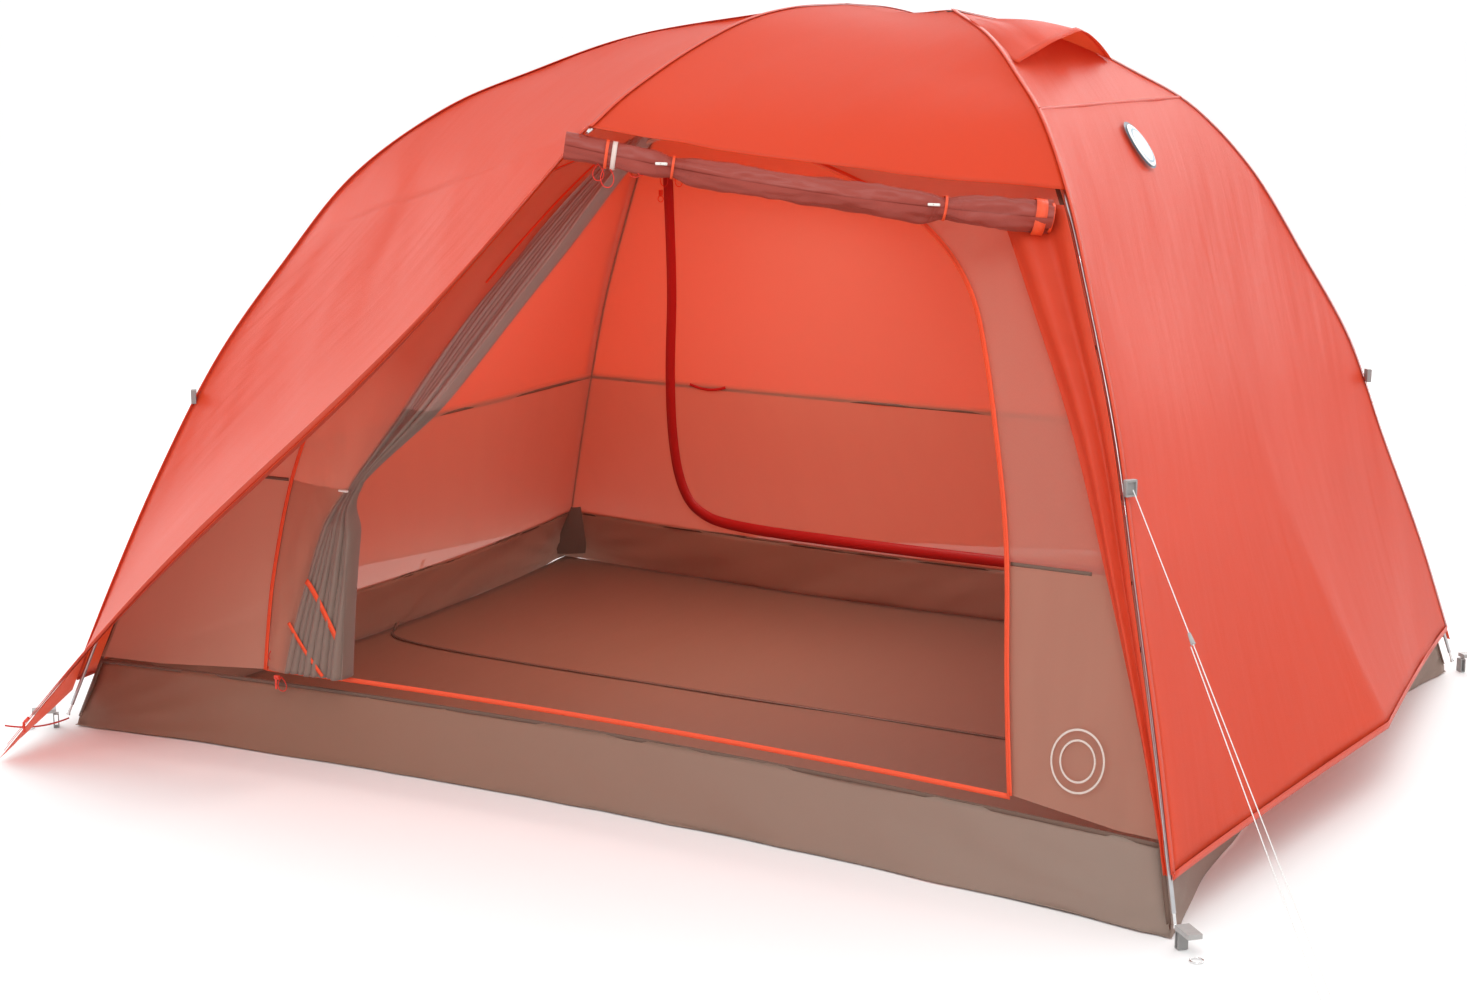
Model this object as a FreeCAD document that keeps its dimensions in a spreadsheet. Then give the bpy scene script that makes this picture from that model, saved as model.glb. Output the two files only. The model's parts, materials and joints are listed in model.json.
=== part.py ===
"""Family dome tent on a hubbed pole frame, pitched with its front vestibule half open.

Frame: X along the front edge of the floor, Y from front to back, Z up.
The origin is on the ground under the middle of the floor.  Millimetres.
"""
import FreeCAD, Part
import math
import os

V = FreeCAD.Vector

DIMENSIONS = [
    ("floor_width", 2950, "floor, left to right"),
    ("floor_depth", 2275, "floor, front to back"),
    ("peak_height", 1771, "hubs above the ground"),
    ("hub_right_x", 444, "right hub from the middle"),
    ("hub_left_x", 0, "left hub from the middle"),
    ("pole_diameter", 9, "aluminium pole tube"),
    ("pole_wall", 0.7, "pole tube wall"),
    ("brow_x", 150, "brow pole from the middle"),
    ("brow_reach", 1150, "brow pole end in front of the ridge"),
    ("brow_rise", 20, "brow pole over the hubs"),
    ("brow_drop", 255, "brow pole end under its top"),
    ("fabric_gauge", 3, "thickness that stands for the fabric"),
    ("fly_gap", 12, "fly outside the pole centreline"),
    ("inner_gap", 26, "inner tent inside the pole centreline"),
    ("tub_height", 180, "bathtub wall"),
    ("floor_sag", 90, "inward curve of the floor's edges"),
    ("fly_hem", 170, "lower edge of the fly above the ground"),
    ("stake_x", -1385, "front vestibule stake point, left and right"),
    ("stake_y", -1450, "front vestibule stake point, front and back"),
    ("back_stake_y", 2050, "back vestibule stake point"),
    ("roll_radius", 27, "rolled vestibule half"),
    ("guy_diameter", 2.2, "guyline"),
    ("guy_foot_x", 1895, "ground end of the guyline, right"),
    ("guy_foot_y", -1440, "ground end of the guyline, front"),
    ("tab_height", 840, "guy-out tabs on the poles"),
    ("loop_width", 24, "guyline loop at the ground"),
    ("buckle_length", 46, "corner buckle"),
    ("buckle_width", 30, "corner buckle"),
    ("buckle_depth", 10, "corner buckle"),
    ("running_gap", 0.3, "clearance round moving pieces"),
    ("hood_width", 560, "vent hood along its lower edge"),
    ("hood_height", 215, "vent hood from hinge to lower edge"),
    ("hood_lift", 62, "vent hood's lower edge off the fly"),
    ("vent_stand", 20, "vent hood's hinge off the fly's plain slope"),
]

# Each leg leaves its corner steeply and bends over towards its hub.
LEG_HEIGHTS = (0.0, 0.20, 0.37, 0.525, 0.655, 0.775, 0.864, 0.915, 0.966, 1.0)
LEG_INSETS = {
    "right": (0.0, 0.09, 0.18, 0.26, 0.36, 0.46, 0.57, 0.68, 0.82, 1.0),
    "left": (0.0, 0.08, 0.155, 0.235, 0.325, 0.42, 0.54, 0.655, 0.80, 1.0),
}
BROW_REACHES = (0.0, 0.22, 0.43, 0.65, 0.87, 1.0)
BROW_DROPS = (0.0, 0.035, 0.155, 0.405, 0.74, 1.0)
CORNERS = {
    "front_left": ("left", -1, -1),
    "front_right": ("right", 1, -1),
    "back_right": ("right", 1, 1),
    "back_left": ("left", -1, 1),
}

doc = FreeCAD.newDocument("TentOnPoles")
sheet = doc.addObject("Spreadsheet::Sheet", "Dimensions")
for row, (alias, value, note) in enumerate(DIMENSIONS, 1):
    sheet.set(f"A{row}", note)
    sheet.set(f"B{row}", str(value))
    sheet.setAlias(f"B{row}", alias)
doc.recompute()

nodes = []


def size(alias):
    return float(getattr(sheet, alias))


def keep(obj, label):
    obj.Label = label
    nodes.append(obj)
    return obj


def feature(label, shape):
    """A free-form sub-part whose shape is worked out below from the sheet."""
    obj = doc.addObject("Part::Feature", label)
    obj.Shape = shape
    return keep(obj, label)


def primitive(kind, name, sizes, place=None):
    """A Part primitive with its sizes bound to the sheet."""
    obj = doc.addObject(kind, name)
    for prop, expression in sizes.items():
        obj.setExpression(prop, expression)
    if place is not None:
        obj.Placement = place
    return obj


def mix(start, end, part):
    return start + (end - start) * part


def unit(vector):
    return vector / vector.Length


def at(level, levels, values):
    """Value at a level, in line between the two nearest ones."""
    for low in range(len(levels) - 1):
        if level <= levels[low + 1]:
            part = (level - levels[low]) / (levels[low + 1] - levels[low])
            return values[low] + (values[low + 1] - values[low]) * part
    return values[-1]


# ---- lines of the frame ----------------------------------------------------------------

def corner_point(name):
    _, across, along = CORNERS[name]
    return V(across * size("floor_width") / 2, along * size("floor_depth") / 2, 0)


def hub_point(side):
    return V(size("hub_right_x") if side == "right" else size("hub_left_x"), 0, size("peak_height"))


def leg_at(name, height):
    """Point of a leg's centreline at a height above the ground."""
    side = CORNERS[name][0]
    level = height / size("peak_height")
    inset = at(level, LEG_HEIGHTS, LEG_INSETS[side])
    hub = hub_point(side)
    point = mix(corner_point(name), V(hub.x, hub.y, 0), inset)
    point.z = height
    return point


def leg_knots(name):
    knots = [leg_at(name, level * size("peak_height")) for level in LEG_HEIGHTS[:-1]]
    start = mix(knots[0], knots[1], 0.16)
    hub = hub_point(CORNERS[name][0])
    end = hub - unit(hub - knots[-1]) * 20
    return [start] + knots[1:] + [end]


def brow_at(reach, way):
    """Point of the brow pole; way is -1 to the front and 1 to the back."""
    drop = at(reach, BROW_REACHES, BROW_DROPS) * size("brow_drop")
    top = size("peak_height") + size("brow_rise")
    return V(size("brow_x"), way * reach * size("brow_reach"), top - drop)


def stake_front():
    return V(size("stake_x"), size("stake_y"), 10)


def stake_back():
    return V(size("brow_x"), size("back_stake_y"), 10)


# ---- shapes ----------------------------------------------------------------------------

def path(points, share=0.45):
    """Straight runs joined by tangent arcs as large as the runs allow."""
    edges = []
    last = points[0]
    for before, here, after in zip(points, points[1:], points[2:]):
        way_in = unit(here - before)
        way_out = unit(after - here)
        cut = share * min((here - before).Length, (after - here).Length)
        half_turn = way_in.getAngle(way_out) / 2
        radius = cut / math.tan(half_turn)
        inward = unit(way_out - way_in)
        start = here - way_in * cut
        middle = here + inward * (math.hypot(radius, cut) - radius)
        end = here + way_out * cut
        edges.append(Part.LineSegment(last, start).toShape())
        edges.append(Part.Arc(start, middle, end).toShape())
        last = end
    edges.append(Part.LineSegment(last, points[-1]).toShape())
    return Part.Wire(edges)


def rod(points, radius):
    line = path(points)
    circle = Part.makeCircle(radius, points[0], points[1] - points[0])
    solid = line.makePipeShell([Part.Wire(circle)], True, False)
    expected = math.pi * radius ** 2 * line.Length
    if abs(solid.Volume - expected) > 0.02 * expected:
        raise ValueError(f"rod volume {solid.Volume:.0f}, expected {expected:.0f}")
    return solid


def pole_tube(points):
    radius = size("pole_diameter") / 2
    return rod(points, radius).cut(rod(points, radius - size("pole_wall")))


def cloth(rows, inside, outside, pulls=None):
    """A thin closed solid through rows of points; pulls draw each row's middle outward."""
    middle = V(size("brow_x"), 0, 500)
    wires = []
    for number, row in enumerate(rows):
        above = rows[max(number - 1, 0)]
        below = rows[min(number + 1, len(rows) - 1)]
        rise = mix(above[0], above[-1], 0.5) - mix(below[0], below[-1], 0.5)
        normal = unit((row[-1] - row[0]).cross(rise))
        if normal.dot(mix(row[0], row[-1], 0.5) - middle) < 0:
            normal = normal * -1
        if pulls:
            row = [row[0], mix(row[0], row[-1], 0.5) + normal * pulls[number], row[-1]]
        far = [point + normal * outside for point in row]
        near = [point + normal * inside for point in reversed(row)]
        wires.append(Part.makePolygon(far + near + far[:1]))
    return Part.makeLoft(wires, True, True)


def trimmed(start, end, room):
    """Two ends of a row, drawn in from the poles that they hang between."""
    along = unit(end - start) * room
    return [start + along, end - along]


def spread(low, high, count):
    return [low + (high - low) * step / (count - 1) for step in range(count)]


def wall_heights(lowest):
    """Heights of a wall's rows, from its lower edge up to just under the hubs."""
    return [lowest] + [level * size("peak_height") for level in LEG_HEIGHTS[2:-1] + (0.988,)]


def outer_faces():
    inside = size("fly_gap")
    return inside, inside + size("fabric_gauge")


def inner_faces():
    outside = -size("inner_gap")
    return outside - size("fabric_gauge"), outside


# ---- pole frame ------------------------------------------------------------------------

def make_poles():
    for name in CORNERS:
        feature("pole_" + name, pole_tube(leg_knots(name)))
    left = hub_point("left") + V(19, 0, 0)
    right = hub_point("right") - V(19, 0, 0)
    place = FreeCAD.Placement(left, FreeCAD.Rotation(V(0, 0, 1), V(1, 0, 0)))
    outside = primitive("Part::Cylinder", "ridge_outside", {
        "Radius": "Dimensions.pole_diameter / 2",
        "Height": "Dimensions.hub_right_x - Dimensions.hub_left_x - 38",
    }, place)
    bore = primitive("Part::Cylinder", "ridge_bore", {
        "Radius": "Dimensions.pole_diameter / 2 - Dimensions.pole_wall",
        "Height": "Dimensions.hub_right_x - Dimensions.hub_left_x - 38",
    }, place)
    ridge = doc.addObject("Part::Cut", "ridge_pole")
    ridge.Base = outside
    ridge.Tool = bore
    keep(ridge, "ridge_pole")
    front = [brow_at(reach, -1) for reach in reversed(BROW_REACHES[1:])]
    back = [brow_at(reach, 1) for reach in BROW_REACHES[1:]]
    feature("brow_pole", pole_tube(front + back))


def make_hubs():
    """Moulded hubs: a round body with a socket for each pole that meets in it."""
    for side in ("left", "right"):
        hub = hub_point(side)
        body = Part.makeCylinder(15, 20, hub - V(0, 0, 10))
        inward = V(1 if side == "left" else -1, 0, 0)
        ways = [inward]
        for name, (leg_side, _, _) in CORNERS.items():
            if leg_side == side:
                ways.append(unit(leg_knots(name)[-2] - hub))
        for way in ways:
            body = body.fuse(Part.makeCylinder(7.2, 46, hub, way))
        for way in ways:
            start = hub + way * (18 if way is inward else 19)
            body = body.cut(Part.makeCylinder(size("pole_diameter") / 2 + 0.05, 40, start, way))
        feature("hub_" + side, body.removeSplitter())


def make_ferrules():
    """Sleeves over the joints between pole sections, and the tips in the corner grommets."""
    outside = size("pole_diameter") / 2 + 0.9
    inside = size("pole_diameter") / 2 + 0.05
    sleeves = []
    tips = []
    for name in CORNERS:
        knots = leg_knots(name)
        for section in (2, 4, 6):
            middle = mix(knots[section], knots[section + 1], 0.5)
            way = unit(knots[section + 1] - knots[section])
            length = (knots[section + 1] - knots[section]).Length * 0.07
            sleeve = Part.makeCylinder(outside, length, middle - way * length / 2, way)
            sleeves.append(sleeve.cut(Part.makeCylinder(inside, length, middle - way * length / 2, way)))
        way = unit(knots[0] - knots[1])
        plug = Part.makeCylinder(3.2, 20, knots[0], way)
        ball = Part.makeCone(3.2, 5.5, 8, knots[0] + way * 20, way)
        tips.append(plug.fuse(ball).removeSplitter())
    for way in (-1, 1):
        end = brow_at(1.0, way)
        out = unit(end - brow_at(BROW_REACHES[-2], way))
        tips.append(Part.makeCone(5.4, 3.5, 16, end, out))
    feature("pole_ferrules", Part.makeCompound(sleeves))
    feature("pole_tips", Part.makeCompound(tips))


def make_brow_swivel():
    """Clamp that carries the brow pole on top of the ridge pole."""
    ridge_z = size("peak_height")
    brow_z = brow_at(BROW_REACHES[1], 1).z
    place = FreeCAD.Placement(V(size("brow_x") - 9, -11, ridge_z - 8), FreeCAD.Rotation())
    block = doc.addObject("Part::Box", "swivel_block")
    block.Placement = place
    block.Length = 18
    block.Width = 22
    block.setExpression("Height", "Dimensions.brow_rise + 12")
    doc.recompute()
    radius = size("pole_diameter") / 2 + 0.05
    ridge_hole = Part.makeCylinder(radius, 30, V(size("brow_x") - 15, 0, ridge_z), V(1, 0, 0))
    brow_hole = Part.makeCylinder(radius + 0.6, 60, V(size("brow_x"), -30, brow_z), V(0, 1, 0))
    feature("brow_swivel", block.Shape.cut(ridge_hole).cut(brow_hole))


# ---- inner tent ------------------------------------------------------------------------

def tub_line(start, end, sag, height, out):
    """Edge of the tub between two corners, curved inward; out moves it outward."""
    middle = mix(start, end, 0.5)
    inward = unit(middle * -1)
    lift = V(0, 0, height)
    shift = inward * -out
    return Part.Arc(start + shift + lift, middle + inward * sag + shift + lift, end + shift + lift)


def make_tub():
    """Coated bathtub: the groundsheet and four low walls that stand on its edge."""
    names = list(CORNERS)
    sag = size("floor_sag")
    gauge = size("fabric_gauge")
    points = [corner_point(name) * 0.985 for name in names]
    edges = [tub_line(points[n], points[(n + 1) % 4], sag, 0, 0).toShape() for n in range(4)]
    feature("tub_floor", Part.Face(Part.Wire(edges)).extrude(V(0, 0, 2)))
    labels = ("front", "right", "back", "left")
    room = 12
    for number, label in enumerate(labels):
        ends = trimmed(points[number], points[(number + 1) % 4], room)
        wires = []
        for height, pull in ((2.2, 0), (size("tub_height"), 14)):
            outer = tub_line(ends[0], ends[1], sag, height, -4 - pull).toShape()
            near = tub_line(ends[0], ends[1], sag, height, -4 - pull - gauge)
            inner = near.toShape()
            joins = [Part.makeLine(outer.Vertexes[1].Point, inner.Vertexes[1].Point),
                     Part.makeLine(inner.Vertexes[0].Point, outer.Vertexes[0].Point)]
            wires.append(Part.Wire([outer, joins[0], inner, joins[1]]))
        feature("tub_wall_" + label, Part.makeLoft(wires, True, True))


def inner_row(left, right, height):
    """Level row of an inner wall, just inside its two poles."""
    return trimmed(leg_at(left, height), leg_at(right, height), 34)


def door_outline():
    """Door opening seen from the front, as a tall half oval on a straight sill."""
    sill = size("tub_height") + 34
    left = Part.Arc(V(-870, 0, 640), V(-600, 0, 1190), V(60, 0, 1490)).toShape()
    right = Part.Arc(V(60, 0, 1490), V(740, 0, 1280), V(1005, 0, 680)).toShape()
    sides = Part.makePolygon([V(1005, 0, 680), V(1085, 0, sill), V(-900, 0, sill), V(-870, 0, 640)])
    return Part.Wire([left, right] + sides.Edges)


def make_inner_walls():
    heights = wall_heights(size("tub_height") + 12)
    spans = (
        ("inner_wall_right", "front_right", "back_right"),
        ("inner_wall_left", "front_left", "back_left"),
        ("inner_wall_back", "back_left", "back_right"),
        ("inner_wall_front", "front_left", "front_right"),
    )
    for label, first, second in spans:
        rows = [inner_row(first, second, height) for height in heights]
        shape = cloth(rows, *inner_faces())
        if label == "inner_wall_front":
            opening = Part.Face(door_outline()).extrude(V(0, 1500, 0))
            opening.translate(V(0, -1500, 0))
            shape = shape.cut(opening)
        feature(label, shape)


def make_doors():
    """The front door gathered to the left, its zip, and the zip of the closed back door."""
    top = V(-150, -600, 1410)
    tie = V(-670, -945, 660)
    foot = V(-710, -1030, 240)
    bundle = [top, mix(top, tie, 0.5) + V(0, -30, 30), tie, foot]
    feature("front_door", rod(bundle, 22))
    back = []
    for x, height in ((-750, 1360), (-870, 920), (-930, 520), (-890, 290), (-760, 228), (880, 218)):
        left = leg_at("back_left", height)
        back.append(V(x, left.y - size("inner_gap") - 18, height))
    feature("back_door_zip", rod(back, 5))
    sill = []
    for x in (-880, -560, -200, 250, 700, 1050):
        curve = 1 - (2 * x / size("floor_width")) ** 2
        depth = -size("floor_depth") / 2 + size("floor_sag") * curve
        sill.append(V(x, depth + 16, size("tub_height") + 24))
    feature("front_door_zip", rod(sill, 4))


# ---- fly -------------------------------------------------------------------------------

def make_fly_ends():
    """End walls of the fly, each pulled out at the middle of its hem."""
    heights = wall_heights(size("fly_hem"))
    for side in ("right", "left"):
        rows = []
        pulls = []
        for height in heights:
            rows.append(trimmed(leg_at("front_" + side, height), leg_at("back_" + side, height), 22))
            pulls.append(12 + 150 * max(0.0, 1 - height / 1000) ** 1.5)
        feature(f"fly_end_{side}", cloth(rows, *outer_faces(), pulls))


def roof_rows(name, way, low):
    """Rows from the brow pole across to a leg, from the ridge out to the brow's end."""
    rows = []
    for step, reach in enumerate((0.06, 0.25, 0.45, 0.65, 0.85, 1.0)):
        share = step / 5
        height = size("peak_height") - 12 - (size("peak_height") - 12 - low) * share ** 1.3
        rows.append(trimmed(brow_at(reach, way), leg_at(name, height), 24))
    return rows


def vestibule_rows(name, start, stake, low):
    """Rows from the zip edge, which runs straight to the stake, across to a leg."""
    rows = []
    for step in range(7):
        share = step / 6
        edge = mix(start, stake, share)
        height = low + (26 - low) * share
        rows.append(trimmed(edge, leg_at(name, height), 24))
    return rows


def make_fly_panels():
    low = 1240
    panels = (
        ("front_left", -1, stake_front(), True),
        ("back_left", 1, stake_back(), True),
        ("back_right", 1, stake_back(), True),
    )
    for name, way, stake, closed in panels:
        upper = roof_rows(name, way, low)
        lower = vestibule_rows(name, brow_at(1.0, way), stake, low)
        feature("fly_roof_" + name, cloth(upper, *outer_faces()))
        feature("fly_vestibule_" + name, cloth(lower, *outer_faces()))
    feature("fly_roof_front_right", cloth(roof_rows("front_right", -1, 1390), *outer_faces()))


def make_roll():
    """The right half of the front vestibule, rolled up and tied under the roof's edge."""
    start = brow_at(1.0, -1) + V(-40, -32, -34)
    end = leg_at("front_right", 1380) + V(-20, -52, -30)
    middle = mix(start, end, 0.5) + V(0, -8, -14)
    feature("vestibule_roll", rod([start, mix(start, middle, 0.5) + V(0, 3, 0), middle, end], size("roll_radius")))
    rows = []
    for height in spread(1290, 200, 6):
        share = (height - 200) / 1090
        edge = leg_at("front_right", height)
        rows.append([edge + V(-30, -26, 0), edge + V(-48 - 90 * share, -44, 0)])
    feature("vestibule_strip", cloth(rows, 4, 7))
    return start, end


def zip_line():
    return brow_at(1.0, -1), stake_front()


def make_vestibule_zip():
    start, end = zip_line()
    first = mix(start, end, 0.03) + V(8, -26, 0)
    last = mix(start, end, 0.985) + V(8, -26, 6)
    way = unit(first - last)
    tape = Part.makeCylinder(3.5, (first - last).Length, last, way)
    feature("vestibule_zip", tape)
    stand = unit(way.cross(V(1, 0, 0)))
    if stand.y > 0:
        stand = stand * -1
    middle = mix(last, first, 0.06) + stand * 8
    body = Part.makeCylinder(3.6, 16, middle, way)
    pull = Part.makeBox(1.6, 7, 26, middle + stand * 3 - V(0.8, 3.5, 26))
    feature("vestibule_slider", body.fuse(pull))
    return way


def make_door_sliders():
    """Zip sliders with their pulls: one on the front sill, one on the back door's side."""
    sill_y = -size("floor_depth") / 2 + size("floor_sag") * 0.69
    slider = Part.makeBox(14, 7, 9, V(-827, sill_y - 2, size("tub_height") + 20))
    pull = Part.makeBox(5, 2.2, 26, V(-822.5, sill_y - 4, size("tub_height") - 4))
    feature("front_door_slider", slider.fuse(pull))
    top = leg_at("back_left", 1290)
    place = V(-776, top.y - size("inner_gap") - 44, 1255)
    back = Part.makeBox(10, 8, 16, place)
    loop = Part.makeTorus(9, 1.4, place + V(5, 3, -10), V(0, 1, 0))
    feature("back_door_slider", back.fuse(loop))


# ---- vent ------------------------------------------------------------------------------

def vent_frame():
    """Hinge line and the down-slope and outward directions of the vent on the right end."""
    upper = mix(leg_at("front_right", 1745), leg_at("back_right", 1745), 0.5)
    lower = mix(leg_at("front_right", 1640), leg_at("back_right", 1640), 0.5)
    down = unit(lower - upper)
    along = V(0, 1, 0)
    out = unit(along.cross(down))
    if out.z < 0:
        out = out * -1
    return upper + out * (size("fly_gap") + size("fabric_gauge") + size("vent_stand")), along, down, out


def strut_head():
    """Hinge of the strut, just under the middle of the hood's lower edge."""
    hinge, _, down, out = vent_frame()
    return hinge + down * (size("hood_height") - 4) + out * (size("hood_lift") - 7)


def make_vent():
    """Vent hood sewn to the fly along its top and propped open by a stiff strut."""
    hinge, along, down, out = vent_frame()
    half = size("hood_width") / 2
    reach = size("hood_height")
    base = [hinge - along * half * 0.5, hinge + along * half * 0.5]
    tip = hinge + down * reach + out * size("hood_lift")
    edge = [tip + along * half, tip - along * half]
    face = Part.Face(Part.makePolygon(base + edge + base[:1]))
    hem = Part.makeCylinder(2.2, half, base[0], along)
    feature("vent_hood_right", face.extrude(out * 2.5).fuse(hem))
    head = strut_head()
    foot = head - down * 30 - out * 25
    slat = Part.Face(Part.makePolygon([
        foot - along * 9, foot + along * 9, head + along * 9, head - along * 9, foot - along * 9]))
    pin = Part.makeCylinder(1.8, 18, head - along * 9, along)
    feature("vent_strut_right", slat.extrude(unit((head - foot).cross(along)) * 1.6).fuse(pin))


# ---- corners, tabs, toggles and guyline --------------------------------------------------

def make_corners():
    """Webbing, side-release buckle and buckle tongue at each floor corner."""
    webs = []
    loops = []
    gap = size("running_gap")
    depth = size("buckle_depth")
    width = size("buckle_width")
    length = size("buckle_length")
    for name, (_, across, along) in CORNERS.items():
        corner = corner_point(name)
        out = unit(V(across, along, 0))
        turn = FreeCAD.Rotation(V(1, 0, 0), out)
        centre = corner + out * 16 + V(0, 0, 40)
        place = FreeCAD.Placement(centre, turn)
        shell = Part.makeBox(length, width, depth, V(0, -width / 2, 0))
        mouth = Part.makeBox(length, width - 8, depth - 4, V(6, -(width - 8) / 2, 2))
        shell = shell.cut(mouth)
        shell.Placement = place
        feature("buckle_" + name, shell)
        tongue = Part.makeBox(length - 8, width - 8 - 2 * gap, depth - 4 - 2 * gap,
                              V(6 + gap, -(width - 8) / 2 + gap, 2 + gap))
        head = Part.makeBox(12, width, depth, V(length + 0.6, -width / 2, 0))
        neck = Part.makeBox(5, width - 12, depth - 6, V(length - 3, -(width - 12) / 2, 3))
        tongue = tongue.fuse(neck).fuse(head)
        tongue.Placement = place
        feature("buckle_tongue_" + name, tongue)
        web = Part.makeBox(14, 22, 36, V(0, -11, 0))
        web = web.cut(Part.makeBox(9, 22, 32, V(2.5, -11, 2)))
        web.Placement = FreeCAD.Placement(corner + out * 10 + V(0, 0, 0.2), turn)
        webs.append(web)
        ring = Part.makeTorus(13, 1.6, corner + out * 84 + V(0, 0, 1.7))
        loops.append(ring)
    feature("corner_webbing", Part.makeCompound(webs))
    for stake in (stake_front(), stake_back()):
        inward = unit(V(stake.x, stake.y, 0))
        loops.append(Part.makeTorus(10, 1.5, stake + inward * 16 + V(0, 0, -8.3)))
    feature("stake_loops", Part.makeCompound(loops))


def tab_point(name):
    point = leg_at(name, size("tab_height"))
    out = unit(V(point.x, point.y, 0))
    return point + out * 26, out


def make_tabs_and_clips():
    """Guy-out tabs outside the fly, and the hooks that hang the inner tent on the poles."""
    tabs = []
    clips = []
    for name in CORNERS:
        point, out = tab_point(name)
        turn = FreeCAD.Rotation(V(1, 0, 0), out)
        tab = Part.makeBox(12, 26, 34, V(-4, -13, -17))
        tab = tab.cut(Part.makeBox(6, 20, 26, V(2.5, -10, -13)))
        tab.Placement = FreeCAD.Placement(point, turn)
        tabs.append(tab)
        for level in (0.30, 0.46, 0.62, 0.80):
            height = level * size("peak_height")
            here = leg_at(name, height)
            inward = unit(V(-here.x, -here.y, 0))
            clips.append(Part.makeBox(5, 16, 9, here + inward * 13 + V(-2.5, -8, -4.5)))
    feature("guy_tabs", Part.makeCompound(tabs))
    feature("pole_clips", Part.makeCompound(clips))


def make_toggles(roll_start, roll_end):
    """Bar toggles: two hold the roll and one holds the gathered door."""
    places = {
        "roll_toggle_left": mix(roll_start, roll_end, 0.22) + V(0, -49, 0),
        "roll_toggle_right": mix(roll_start, roll_end, 0.78) + V(0, -49, 0),
        "door_toggle": V(-670, -985, 662),
    }
    for label, centre in places.items():
        bar = Part.makeCylinder(3, 26, centre - V(13, 0, 0), V(1, 0, 0))
        eye = Part.makeCylinder(1.2, 8, centre - V(0, 4, 0), V(0, 1, 0))
        feature(label, bar.cut(eye))
    return places


def guy_points():
    """Standing line from the tab to the ground, round the stake loop and back up."""
    tab, out = tab_point("front_right")
    top = tab + out * 12 + V(0, 0, -2)
    foot = V(size("guy_foot_x"), size("guy_foot_y"), 4)
    way = unit(foot - top)
    side = unit(way.cross(V(0, 0, 1)))
    width = size("loop_width")
    lock = mix(top, foot, 0.31) + side * 7
    return [top, foot, foot + side * width + way * 3, lock]


def make_guyline():
    points = guy_points()
    radius = size("guy_diameter") / 2
    feature("guyline", rod(points, radius))
    top, foot = points[0], points[1]
    way = unit(foot - top)
    side = unit(way.cross(V(0, 0, 1)))
    stand = mix(top, foot, 0.285)
    lock = Part.makeCone(3.4, 5.0, 24, stand, way)
    bore = Part.makeCylinder(radius + 0.4, 24, stand, way)
    feature("guyline_tensioner", lock.cut(bore))
    for first, here, after in zip(points, points[1:], points[2:]):
        cut = 0.45 * min((here - first).Length, (after - here).Length)
        turn = (here - first).getAngle(after - here)
        print(f"guyline bend radius {cut / math.tan(turn / 2):.1f} mm")
    print(f"guyline length {path(points).Length:.0f} mm")
    return way


def report_axes(zip_way, guy_way, places):
    """Axes and anchor points that the record's joints repeat, in metres."""
    print("vestibule_slider axis", [round(c, 5) for c in zip_way])
    print("tensioner axis", [round(c, 5) for c in guy_way])
    hinge = vent_frame()[0]
    print("vent right hinge", [round(c / 1000, 5) for c in hinge], "head", [round(c / 1000, 5) for c in strut_head()])
    drop = leg_at("back_left", 750) - leg_at("back_left", 1290)
    print("back_door_slider axis", [round(c, 5) for c in unit(V(-115, drop.y, drop.z))])
    for label, centre in places.items():
        print(label, [round(c / 1000, 5) for c in centre])


make_poles()
make_hubs()
make_ferrules()
make_brow_swivel()
make_tub()
make_inner_walls()
make_doors()
make_fly_ends()
make_fly_panels()
roll_start, roll_end = make_roll()
zip_way = make_vestibule_zip()
make_door_sliders()
make_vent()
make_corners()
make_tabs_and_clips()
toggle_places = make_toggles(roll_start, roll_end)
guy_way = make_guyline()
report_axes(zip_way, guy_way, toggle_places)

doc.recompute()
for obj in doc.Objects:
    if "Invalid" in obj.State or "Error" in obj.State:
        raise ValueError(f"{obj.Label} failed: {obj.State}")
for obj in nodes:
    if obj.Shape.isNull() or not obj.Shape.isValid():
        raise ValueError(f"{obj.Label} has no valid shape")
os.makedirs("parts", exist_ok=True)
for obj in nodes:
    obj.Shape.exportStep(f"parts/{obj.Label}.step")
    print(f"{obj.Label}: {len(obj.Shape.Solids)} solids, {obj.Shape.Volume / 1000:.1f} cm3")
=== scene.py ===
import json
import math

import bpy
import numpy as np
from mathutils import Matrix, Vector, noise


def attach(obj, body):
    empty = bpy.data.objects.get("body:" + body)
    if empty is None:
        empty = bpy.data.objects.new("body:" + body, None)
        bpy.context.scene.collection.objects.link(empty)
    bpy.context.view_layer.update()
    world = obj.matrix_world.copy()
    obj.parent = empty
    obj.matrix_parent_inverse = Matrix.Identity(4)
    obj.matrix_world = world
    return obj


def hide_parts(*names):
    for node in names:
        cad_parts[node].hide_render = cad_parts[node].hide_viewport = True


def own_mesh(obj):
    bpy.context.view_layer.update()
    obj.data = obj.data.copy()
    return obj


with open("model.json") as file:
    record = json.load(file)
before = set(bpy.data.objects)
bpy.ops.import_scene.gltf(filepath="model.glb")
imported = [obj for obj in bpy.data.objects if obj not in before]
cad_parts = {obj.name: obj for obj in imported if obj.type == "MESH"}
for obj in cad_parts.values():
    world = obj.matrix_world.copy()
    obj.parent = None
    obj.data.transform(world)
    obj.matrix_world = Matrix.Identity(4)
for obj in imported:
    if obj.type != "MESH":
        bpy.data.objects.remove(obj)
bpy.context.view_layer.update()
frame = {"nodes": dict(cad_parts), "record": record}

bpy.ops.object.select_all(action="DESELECT")

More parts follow.
